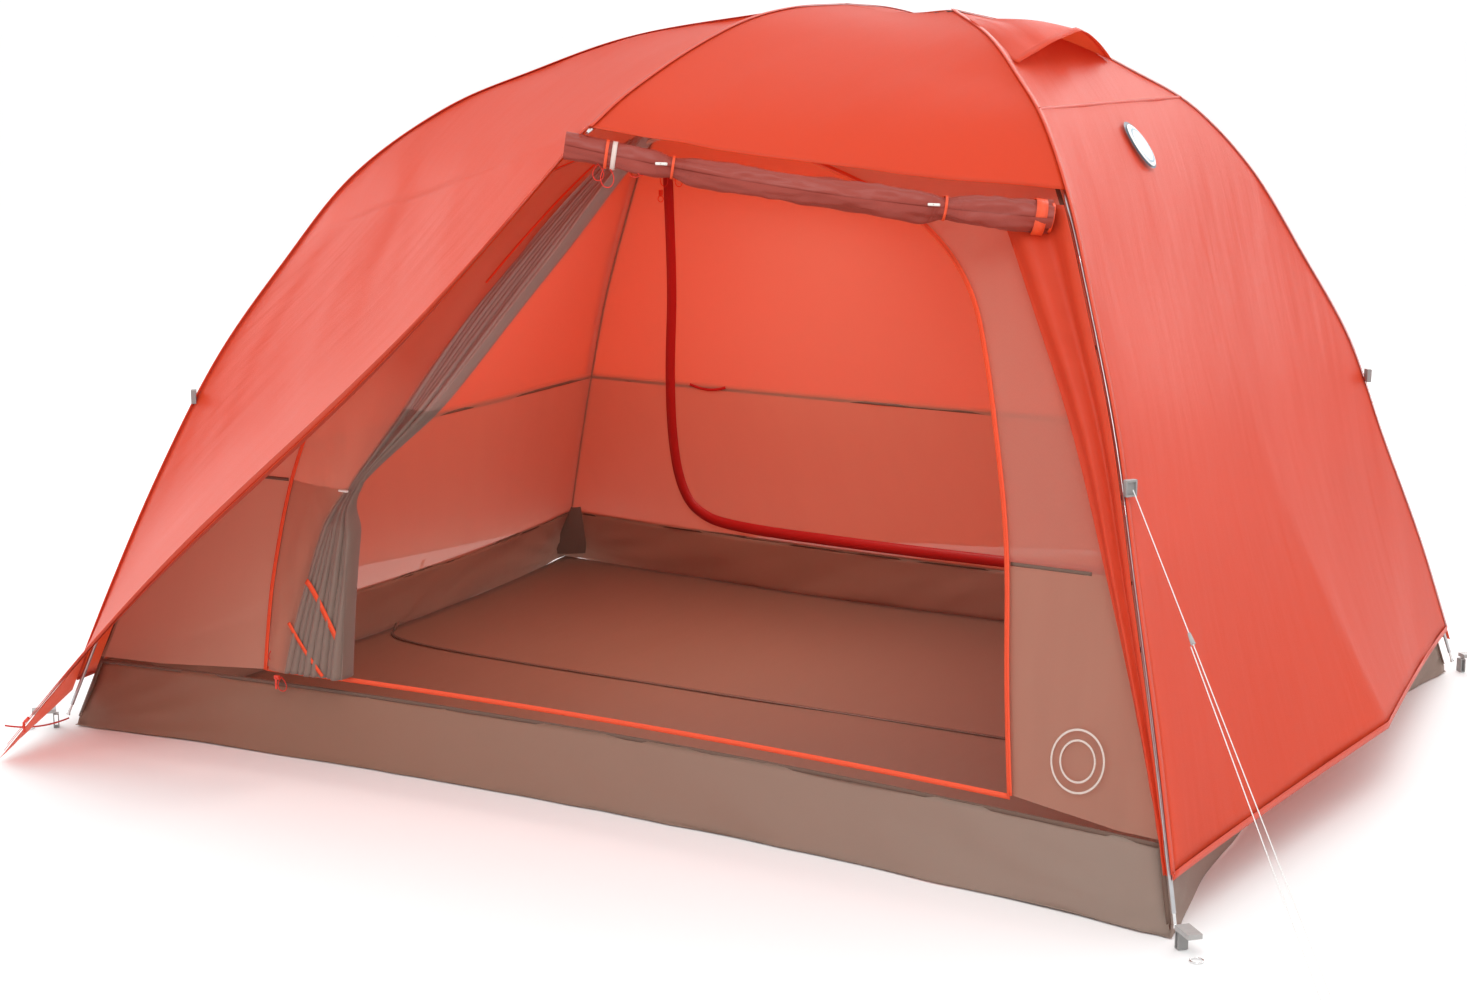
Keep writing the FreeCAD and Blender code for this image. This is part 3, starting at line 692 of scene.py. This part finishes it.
bindings = []
for name in SIDES:
    bindings.append(ribbon("binding", wall_row(name, TUB_TOP, 80), 0.010, (0, 0, 1), rise=0.002))
    if name != "front":
        line = wall_row(name, MESH_LINE, 80)
        bindings.append(ribbon("binding", line, 0.008, (0, 0, 1), rise=0.002))
for low, high in ((-1.21, -0.885), (1.01, 1.19)):
    line = [on_wall("front", x, MESH_LINE, 0.001) for x in np.linspace(low, high, 20)]
    bindings.append(ribbon("binding", line, 0.008, (0, 0, 1), rise=0.002))
for side in ("left", "right"):
    for along in (-1, 1):
        line = [leg(side, along, step, INNER_OUT) for step in np.linspace(0.1, TOP_STEP - 0.3, 90)]
        bindings.append(ribbon("binding", line, 0.010, (1, 0, 0), rise=0.001))
binding = joined("inner_bindings", bindings)
binding_tape = ripstop("binding_tape", (0.165, 0.090, 0.062), (0.12, 0.065, 0.045), 0.05)
put(binding, binding_tape)
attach(binding, "pitched_tent")

# ---- Door zips ---------------------------------------------------------------------------------
# The front door's orange coil runs round its whole opening.  The closed back door's zip lies
# under a wide dark red flap, down its left side and along its sill.
door_line = [on_wall("front", smooth(door_x, turn), smooth(door_z, turn), 0.006)
             for turn in np.linspace(0, DOOR_LAST, 220)]
sill_line = [on_wall("front", x, 0.203, 0.006) for x in np.linspace(-0.90, 1.072, 120)]
front_zip = joined("front_door_tape", [
    ribbon("tape", door_line, 0.013, (0, 1, 0.02)),
    ribbon("tape", [point + np.array([0, -0.002, 0]) for point in door_line], 0.011, (1, 0, 0.3)),
    ribbon("tape", sill_line, 0.012, (0, 0, 1)),
])
put(front_zip, coil)
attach(front_zip, "pitched_tent")
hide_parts("front_door_zip")

back_edge = [
    (-0.750, 1.37), (-0.790, 1.20), (-0.850, 0.95), (-0.905, 0.70), (-0.930, 0.48), (-0.915, 0.32),
    (-0.850, 0.235), (-0.700, 0.205), (-0.300, 0.200), (0.200, 0.200), (0.700, 0.200), (1.100, 0.200),
]
back_x = [x for x, z in back_edge]
back_z = [z for x, z in back_edge]
back_line = [on_wall("back", smooth(back_x, turn), smooth(back_z, turn), -0.008)
             for turn in np.linspace(0, len(back_edge) - 1, 160)]
lead = np.gradient(np.array(back_line), axis=0)
lead /= np.linalg.norm(lead, axis=1, keepdims=True)
across_line = np.cross(lead, np.array([0, 1.0, 0]))
back_zip = ribbon("back_door_flap", back_line, 0.034, across_line, rise=-0.002)
dark_red = ripstop("dark_red_flap", (0.55, 0.006, 0.004), (0.45, 0.004, 0.003), 0.15)
put(back_zip, dark_red)
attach(back_zip, "pitched_tent")
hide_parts("back_door_zip")

# ---- Gathered front door -----------------------------------------------------------------------
# The unzipped door stays joined down its left side.  Its free part is drawn to the left in deep
# pleats, tied at waist height with a toggle, and fans out again to the sill.
door_path = [
    (-0.10, 1.49, 0.030), (-0.20, 1.33, 0.058), (-0.33, 1.13, 0.072), (-0.50, 0.86, 0.060),
    (-0.665, 0.665, 0.016), (-0.690, 0.55, 0.042), (-0.705, 0.40, 0.064), (-0.720, 0.215, 0.080),
]
door_path_x = [x for x, z, half in door_path]
door_path_z = [z for x, z, half in door_path]
door_halves = [half for x, z, half in door_path]
DOOR_PLEATS = 8
DOOR_TIE = 4.0
flap_rows = []
pleat_rows = []
for turn in np.linspace(0, len(door_path) - 1, 110):
    x, z, half = (smooth(values, turn) for values in (door_path_x, door_path_z, door_halves))
    tight = min(1.0, 0.30 + abs(turn - DOOR_TIE) * 0.9)
    slope = 0.55 if turn < DOOR_TIE else 0.0
    row = []
    for part in np.linspace(-1, 1, 177):
        swing = math.cos(part * math.pi * DOOR_PLEATS + 0.5 * math.sin(turn * 0.9))
        loose = 0.35 * noise.noise(Vector((part * 3, turn * 0.8, 5.0)))
        curl = 0.012 * tight * math.sin(part * math.pi * DOOR_PLEATS)
        point = on_wall("front", x + part * half + curl, z + part * half * slope, 0.030)
        point[1] -= 0.030 * tight * (swing + loose)
        row.append(point)
    pleat_rows.append(row)
    hinge_turn = 6.6 * (1 - turn / (len(door_path) - 1))
    edge = on_wall("front", smooth(door_x, hinge_turn), smooth(door_z, hinge_turn), 0.002)
    row = []
    for part in np.linspace(0, 1, 30):
        point = edge + (np.array(pleat_rows[-1][0]) - edge) * part
        drawn = noise.noise(Vector((part * 2.0, turn * 2.6, 7.0))) * dome(part)
        row.append(point + np.array([0, -0.010 * drawn, 0]))
    flap_rows.append(row)
pleats = cloth("door_pleats", np.array(pleat_rows))
flap = cloth("door_flap", np.array(flap_rows))
pale_mesh = Finish("pale_mesh", Roughness=0.55, Sheen_Weight=0.3)
door_height = pale_mesh.node("ShaderNodeSeparateXYZ", {}, {"Vector": pale_mesh.place()}, "Z")
sheer_part = door_height > 0.86
pale_weave = pale_mesh.cloud(pale_mesh.cloth_place(), 700.0, 1.0)
# Painted light: the door's grey nylon below and its mesh above take a warm tint for the orange light
# that comes through the fly.
pale_mesh.set("Base Color",
              pale_mesh.mix(sheer_part, (0.30, 0.205, 0.165, 1), (0.66, 0.46, 0.40, 1)))
pale_mesh.set("Alpha", 0.97 - sheer_part * (0.20 + pale_weave * 0.25))
pale_mesh.set("Normal", pale_mesh.bump(pale_weave, 0.3, 0.0006))
pale_mesh.let_light_through((0.62, 0.46, 0.40, 1), 0.35)
put(pleats, pale_mesh)
put(flap, inner_cloth)
front_door = joined("gathered_door", [pleats, flap])
finished(front_door, "SOLIDIFY", thickness=0.0006, offset=0.0)
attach(front_door, "pitched_tent")
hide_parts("front_door")


def on_door(turn, part, proud):
    """A place on the gathered door's face, for what is sewn to it."""
    x, z, half = (smooth(values, turn) for values in (door_path_x, door_path_z, door_halves))
    return on_wall("front", x + part * half, z, proud)


trim_shares = np.linspace(0, 1, 30)
door_trim = joined("door_trim", [
    ribbon("coil_a", [on_door(5.75 + 0.75 * t, -0.95 + 1.75 * t ** 0.8, 0.060) for t in trim_shares],
           0.015, (0.6, 0, 0.8)),
    ribbon("coil_b", [on_door(6.35 + 0.62 * t, -1.25 + 1.6 * t, 0.062) for t in trim_shares],
           0.010, (0.6, 0, 0.8)),
    ribbon("coil_c", [on_door(0.3 + 1.6 * t, -1.05, 0.050) for t in trim_shares],
           0.007, (1, 0, 0.3)),
])
put(door_trim, coil)
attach(door_trim, "pitched_tent")

# ---- Rolled vestibule half ---------------------------------------------------------------------
# The right half of the front vestibule is rolled up with its darker coated side outward, and
# held under the roof's edge by two loops with bar toggles.
ROLL_TURNS = 7
ROLL_SAG = 0.020
ROLL_TIES = (0.22, 0.78)
roll_start = brow(-1, BROW_STEP) + np.array([-0.045, -0.030, -0.030])
roll_end = leg("right", -1, step_at(1.38)) + np.array([-0.018, -0.050, -0.026])
roll_ahead = (roll_end - roll_start) / np.linalg.norm(roll_end - roll_start)
roll_side = np.cross(roll_ahead, np.array([0, 0, 1.0]))
roll_side /= np.linalg.norm(roll_side)
roll_up = np.cross(roll_side, roll_ahead)


def roll_centre(share):
    return roll_start + (roll_end - roll_start) * share + np.array([0, 0, -ROLL_SAG * dome(share)])


roll_rows = []
for share in np.linspace(0, 1, 120):
    centre = roll_centre(share)
    from_tie = min(abs(share - tie) for tie in ROLL_TIES)
    radius = (0.0275 + 0.008 * share) * (1 - 0.30 * math.exp(-(from_tie / 0.025) ** 2))
    row = []
    for angle in np.linspace(0, 2 * math.pi * ROLL_TURNS, 44 * ROLL_TURNS + 1):
        turn = angle % (2 * math.pi)
        ridge = noise.noise(Vector((math.cos(turn) * 1.6, math.sin(turn) * 1.6, share * 9)))
        fold = noise.noise(Vector((math.cos(turn) * 2.5, math.sin(turn) * 2.5, share * 34)))
        twist = 0.07 * math.sin(turn * 3 + share * 26)
        wound = 0.34 + 0.66 * angle / (2 * math.pi * ROLL_TURNS)
        reach = radius * wound * (1 + 0.22 * ridge + twist + 0.10 * fold)
        row.append(centre + roll_side * math.cos(angle) * reach + roll_up * math.sin(angle) * reach)
    roll_rows.append(row)
roll = cloth("rolled_vestibule", np.array(roll_rows))
roll_cloth = ripstop("roll_underside", (0.36, 0.045, 0.026), (0.26, 0.030, 0.018), 0.06)
put(roll, roll_cloth)
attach(roll, "pitched_tent")
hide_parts("vestibule_roll")


def roll_ring(name, share, radius, wide, thick):
    """A closed band round the roll, as one lofted tube."""
    centre = roll_centre(share)
    section = [(-0.5, 0), (-0.5, 1), (0.5, 1), (0.5, 0), (-0.5, 0)]
    rows = []
    for along, high in section:
        row = []
        for angle in np.linspace(0, 2 * math.pi, 57):
            reach = radius * (1 + 0.04 * math.sin(angle * 3)) + thick * high
            out = roll_side * math.cos(angle) + roll_up * math.sin(angle)
            row.append(centre + roll_ahead * along * wide + out * reach)
        rows.append(row)
    return cloth(name, np.array(rows))


roll_bands = joined("roll_bands", [
    roll_ring("band", 0.085, 0.0285, 0.007, 0.0020),
    roll_ring("band", ROLL_TIES[0], 0.0225, 0.006, 0.0020),
    roll_ring("band", ROLL_TIES[1], 0.0250, 0.006, 0.0020),
    roll_ring("mouth", 0.975, 0.0360, 0.024, 0.0030),
    roll_ring("mouth", 1.000, 0.0290, 0.006, 0.0030),
], merge=0.0001)
put(roll_bands, coil)
pale_band = roll_ring("roll_pale_band", 0.100, 0.0285, 0.010, 0.0016)
pale_tape = ripstop("pale_tape", (0.80, 0.62, 0.56), (0.70, 0.52, 0.46), 0.05)
put(pale_band, pale_tape)
for piece, slot in ((roll_bands, "orange_zip"), (pale_band, "grey_webbing")):
    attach(piece, "pitched_tent")


PULL_THICKNESS = 0.0024
LOOP_SHAPE = ((0.6, 0.45), (0.35, 1.0), (-0.35, 0.95), (-0.5, 0.4))


def pull_loop(name, top, width, drop, turn):
    """A short loop of thin red cord hanging from a point."""
    top = Vector(top)
    reach = Vector((math.cos(turn), math.sin(turn), 0)) * width
    knots = [top + reach * across - Vector((0, 0, drop * down)) for across, down in LOOP_SHAPE]
    knots = [top, *knots, top + Vector((0.001, 0, 0.001))]
    loop = round_cord(name, knots, PULL_THICKNESS, 10, 2)
    bpy.ops.object.select_all(action="DESELECT")
    loop.select_set(True)
    bpy.context.view_layer.objects.active = loop
    bpy.ops.object.convert(target="MESH")
    loop.select_set(False)
    return loop


roll_foot = roll_start + (roll_end - roll_start) * 0.09 + np.array([0, -0.01, -0.026])
back_zip_head = on_wall("back", -0.75, 1.33, 0.0)
pull_loops = joined("pull_loops", [
    pull_loop("loop", roll_foot, 0.030, 0.050, 0.4),
    pull_loop("loop", roll_foot + np.array([-0.022, 0, 0]), 0.026, 0.036, 0.9),
    pull_loop("loop", roll_foot + np.array([0.050, 0.03, 0.002]), 0.028, 0.030, 0.2),
    pull_loop("loop", roll_foot + np.array([0.066, 0.03, 0.002]), 0.022, 0.026, 1.2),
    pull_loop("loop", back_zip_head - np.array([0.02, 0.012, 0]), 0.026, 0.050, 0.1),
    pull_loop("loop", back_zip_head - np.array([-0.03, 0.012, 0]), 0.026, 0.050, 0.1),
    pull_loop("loop", on_wall("front", -0.845, 0.19, 0.016), 0.026, 0.036, 0.1),
    pull_loop("loop", on_wall("front", -0.880, 0.25, 0.016), 0.016, 0.024, 0.1),
])
red_cord = Finish("red_cord", Roughness=0.5)
laid = red_cord.node("ShaderNodeTexWave", {"bands_direction": "DIAGONAL"},
                     {"Vector": red_cord.place(), "Scale": 500.0}, "Fac")
red_cord.set("Base Color", red_cord.mix(laid, (0.55, 0.012, 0.008, 1), (0.80, 0.045, 0.020, 1)))
put(pull_loops, red_cord)
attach(pull_loops, "pitched_tent")

# ---- Pleated strip -----------------------------------------------------------------------------
# The seam allowance of the rolled-up half hangs down the front right pole as a sheer orange
# band in soft folds, crumpled together near the ground.
STRIP_TOP = 1.375
STRIP_FOOT = 0.13
strip_rows = []
for height in np.linspace(STRIP_TOP, STRIP_FOOT, 120):
    share = (height - STRIP_FOOT) / (STRIP_TOP - STRIP_FOOT)
    pole = leg("right", -1, step_at(height), 0.006)
    width = 0.010 + 0.155 * share ** 1.4
    row = []
    for part in np.linspace(0, 1, 61):
        drift = noise.noise(Vector((height * 1.4, part * 2.0, 8)))
        fold = math.cos(part * math.pi * 3 + 2.2 * drift)
        crumple = noise.noise(Vector((height * 26, part * 3, 4))) * max(0.0, 0.45 - share)
        forward = -0.018 - 0.009 * fold * (0.4 + share) - 0.010 * crumple
        row.append(pole + np.array([-width * part, forward, 0]))
    strip_rows.append(row)
strip = cloth("pleated_strip", np.array(strip_rows))
finished(strip, "SOLIDIFY", thickness=0.0008, offset=0.0)
sheer = ripstop("sheer_orange", (0.88, 0.120, 0.042), (0.66, 0.070, 0.025), 0.45)
sheer.set("Alpha", sheer.cloud(sheer.cloth_place(), 14.0, 3.0) * 0.3 + 0.62)
put(strip, sheer)
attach(strip, "pitched_tent")
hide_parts("vestibule_strip")

# ---- Vent hood ---------------------------------------------------------------------------------
# A flap over the vent in the right end, hinged on the seam above and propped open in its middle by
# a stiff strut, so that its corners stay down on the poles.
HOOD_TOP = 1.745
HOOD_LOW = 1.640
HOOD_REACH = 0.215
hood_top, hood_low = (sum(leg_line("right", along, step_at(height)) for along in (-1, 1)) / 2
                      for height in (HOOD_TOP, HOOD_LOW))
hood_slope = (hood_low - hood_top) / np.linalg.norm(hood_low - hood_top)
hood_out = np.array([-hood_slope[2], 0, hood_slope[0]])
hood_rows = []
for share in np.linspace(0, 1, 30):
    row = []
    for part in np.linspace(-1, 1, 61):
        ridge = (1 - abs(part) ** 1.35) * share
        middle = hood_top + hood_slope * HOOD_REACH * share
        half = 0.115 + 0.175 * share
        lift = 0.018 + 0.078 * ridge + 0.010 * math.sin(math.pi * share) * (1 - part ** 2)
        slack = 0.004 * noise.noise(Vector((part * 3, share * 2, 1.0)))
        row.append(middle + hood_out * (lift + slack) + np.array([0, part * half, 0]))
    hood_rows.append(row)
hood = cloth("vent_hood_cloth", np.array(hood_rows))
hood_hem = ribbon("hood_hem", hood_rows[-1], 0.016, hood_slope, rise=0.002)
finished(hood, "SOLIDIFY", thickness=0.0012, offset=0.0)
hood = joined("vent_hood_cloth", [hood, hood_hem])
put(hood, fly_nylon)
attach(hood, "pitched_tent")
hood_foot = hood_top + hood_slope * HOOD_REACH + hood_out * 0.012
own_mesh(hood)
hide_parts("vent_hood_right")

# ---- Patches, pocket and floor seam ------------------------------------------------------------
# A plain oval patch is glued to the right end of the fly, and a plain double ring is printed on
# the grey cloth by the front right corner.  A small pocket is bound in red on the back wall.
end_rows = fly_end("right")


def on_end(y, z, proud):
    """A place on the right end of the fly."""
    shares = [(y - row[0][1]) / (row[-1][1] - row[0][1]) for row in end_rows]
    across, heights = ([np.interp(share, np.linspace(0, 1, len(row)), row[:, axis])
                        for share, row in zip(shares, end_rows)] for axis in (0, 2))
    return np.array([np.interp(z, heights[::-1], across[::-1]) + proud, y, z])


def disc(name, place_at, across, high, inner, rings=6, count=64):
    """A flat oval or ring that follows the cloth below it."""
    rows = []
    for reach in np.linspace(inner, 1, rings):
        row = [place_at(math.cos(turn) * across * reach, math.sin(turn) * high * reach)
               for turn in np.linspace(0, 2 * math.pi, count + 1)]
        rows.append(row)
    return cloth(name, np.array(rows))


def patch_place(proud):
    return lambda across, high: on_end(-0.035 + across, 1.475 + high * 0.85, proud)


oval_rim = disc("oval_rim", patch_place(0.010), 0.048, 0.062, 0.05)
oval_field = disc("oval_field", patch_place(0.013), 0.042, 0.055, 0.02)
oval_line = disc("oval_line", patch_place(0.016), 0.034, 0.045, 0.90, rings=3)
put(oval_rim, ripstop("patch_rim", (0.10, 0.13, 0.16), (0.07, 0.09, 0.12), 0.02))
put(oval_field, ripstop("patch_white", (0.86, 0.86, 0.86), (0.78, 0.79, 0.80), 0.02))
put(oval_line, ripstop("patch_blue", (0.30, 0.45, 0.55), (0.24, 0.36, 0.46), 0.02))


def mark_place(proud):
    return lambda across, high: on_wall("front", 1.215 + across, 0.300 + high, proud)


ring_mark = joined("ring_mark", [
    disc("ring", mark_place(0.010), 0.060, 0.064, 0.93, rings=3),
    disc("ring", mark_place(0.010), 0.040, 0.043, 0.90, rings=3),
])
put(ring_mark, ripstop("printed_white", (0.66, 0.56, 0.50), (0.60, 0.50, 0.44), 0.10))
for piece, slot in ((oval_rim, "fly_fabric"), (oval_field, "fly_fabric"), (oval_line, "fly_fabric"),
                    (ring_mark, "inner_mesh")):
    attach(piece, "pitched_tent")

pocket_line = [on_wall("back", x, 0.655 - 0.012 * dome((x + 0.84) / 0.13), -0.010)
               for x in np.linspace(-0.84, -0.71, 20)]
pocket = ribbon("pocket_binding", pocket_line, 0.008, (0, 0, 1))
put(pocket, dark_red)
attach(pocket, "pitched_tent")

pocket_rows = []
for high in np.linspace(0.03, 0.20, 10):
    middle = leg("left", 1, step_at(high + 0.01), INNER_OUT) + np.array([0.045, -0.045, 0])
    wide = 0.044 - 0.22 * max(0.0, high - 0.06)
    row = []
    for part in np.linspace(-1, 1, 15):
        bulge = wide * part * 0.6 - 0.012 * dome((part + 1) / 2)
        row.append(middle + np.array([wide * part, bulge, 0]))
    pocket_rows.append(row)
corner_pocket = cloth("corner_pocket", np.array(pocket_rows))
put(corner_pocket, ripstop("pocket_cloth", (0.20, 0.13, 0.10), (0.15, 0.10, 0.08), 0.15))
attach(corner_pocket, "pitched_tent")

cord_start, cord_end = np.array([-1.462, -1.130, 0.022]), np.array([-1.405, -1.395, 0.080])
cord_line = span(cord_start, cord_end, 24, lambda share: -np.array([0, 0, 0.012 * dome(share)]))
corner_cord = ribbon("corner_cord", cord_line, 0.004, (0, 0, 1))
put(corner_cord, red_cord)
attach(corner_cord, "pitched_tent")

floor_route = [
    (-1.40, 0.28, 0.16), (-1.37, 0.16, 0.06), (-1.34, 0.06, 0.012), (-1.25, -0.04, 0.009),
    (-0.95, -0.08, 0.009), (-0.50, -0.085, 0.009), (0.10, -0.080, 0.009), (0.70, -0.075, 0.009),
    (1.30, -0.070, 0.009),
]
floor_line = [[smooth([p[axis] for p in floor_route], turn) for axis in range(3)]
              for turn in np.linspace(0, len(floor_route) - 1, 120)]
floor_seam = ribbon("floor_seam", floor_line, 0.009, (0, 1, 0.2))
put(floor_seam, binding_tape)
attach(floor_seam, "pitched_tent")

# ---- Metal, plastic and webbing ----------------------------------------------------------------
# The frame's own pieces keep their shapes: anodised tube, moulded hubs and buckles, webbing and
# painted zip sliders each get their finish here.
def mottled(name, scale, first, second, **settings):
    """A hard finish whose colour drifts a little between two shades."""
    finish = Finish(name, **settings)
    cloud = finish.cloud(finish.place(), scale)
    finish.set("Base Color", finish.mix(cloud, (*first, 1), (*second, 1)))
    return finish


satin = mottled("anodised_tube", 60.0, (0.45, 0.45, 0.46), (0.60, 0.60, 0.61),
                Metallic=1.0, Roughness=0.32)
bright = mottled("turned_metal", 90.0, (0.70, 0.70, 0.70), (0.85, 0.85, 0.84),
                 Metallic=1.0, Roughness=0.2)
dark = mottled("dark_moulding", 120.0, (0.035, 0.032, 0.030), (0.06, 0.055, 0.05), Roughness=0.5)
grey = mottled("grey_moulding", 120.0, (0.33, 0.32, 0.31), (0.42, 0.41, 0.40), Roughness=0.45)
bone = mottled("pale_toggle", 80.0, (0.75, 0.72, 0.66), (0.85, 0.82, 0.78), Roughness=0.35)
red_paint = mottled("painted_slider", 80.0, (0.62, 0.03, 0.012), (0.75, 0.05, 0.02), Roughness=0.3)
webbing = Finish("grey_webbing_weave", Roughness=0.7, Sheen_Weight=0.2)
ribs = webbing.node("ShaderNodeTexWave", {"bands_direction": "Z"},
                    {"Vector": webbing.place(), "Scale": 160.0}, "Fac")
webbing.set("Base Color", webbing.mix(ribs, (0.22, 0.215, 0.21, 1), (0.38, 0.37, 0.36, 1)))
webbing.set("Normal", webbing.bump(ribs, 0.6, 0.0008))
slot_finish = {
    "pole_aluminium": satin, "polished_aluminium": bright, "dark_plastic": dark,
    "grey_plastic": grey, "grey_webbing": webbing, "toggle_plastic": bone,
    "slider_metal": red_paint,
}
for part in frame["record"]["subparts"]:
    finish = slot_finish.get(part["material_slot"])
    node = frame["nodes"].get(part["node"])
    if finish and node:
        for socket in node.material_slots:
            socket.material = finish.material

# ---- Studio ------------------------------------------------------------------------------------
# A plain pale floor and broad soft lights: three outside, and a small warm one inside that
# stands for the daylight coming through the orange cloth.
bpy.ops.mesh.primitive_plane_add(size=400.0, location=(0, 0, -0.001))
studio_floor = bpy.context.object
studio_floor.name = "studio_floor"
bpy.ops.object.transform_apply(location=True)
paper = mottled("studio_paper", 2.0, (0.93, 0.93, 0.93), (0.95, 0.95, 0.95), Roughness=0.9)
put(studio_floor, paper)
world = bpy.data.worlds.new("studio")
bpy.context.scene.world = world
world.use_nodes = True
world.node_tree.nodes["Background"].inputs["Color"].default_value = (1, 1, 1, 1)
world.node_tree.nodes["Background"].inputs["Strength"].default_value = 1.07
for place, aim, wide, power, colour in (
    ((-7.5, 0.8, 2.4), (-0.5, -0.8, 0.8), 4.0, 130, (1, 1, 1)),
    ((0.6, 6.5, 3.4), (0.8, 0, 1.2), 5.0, 250, (1, 1, 1)),
    ((2.5, -4.5, 5.5), (0, 0, 0.4), 3.0, 120, (1, 1, 1)),
    ((-0.30, 0.10, 1.15), (-0.42, 0.35, 0.0), 0.55, 12, (1.0, 0.82, 0.75)),
):
    bpy.ops.object.light_add(type="AREA", location=place)
    lamp = bpy.context.object
    lamp.data.size = wide
    lamp.data.energy = power
    lamp.data.color = colour
    lamp.visible_camera = False
    lamp.rotation_euler = (Vector(aim) - Vector(place)).to_track_quat("-Z", "Y").to_euler()
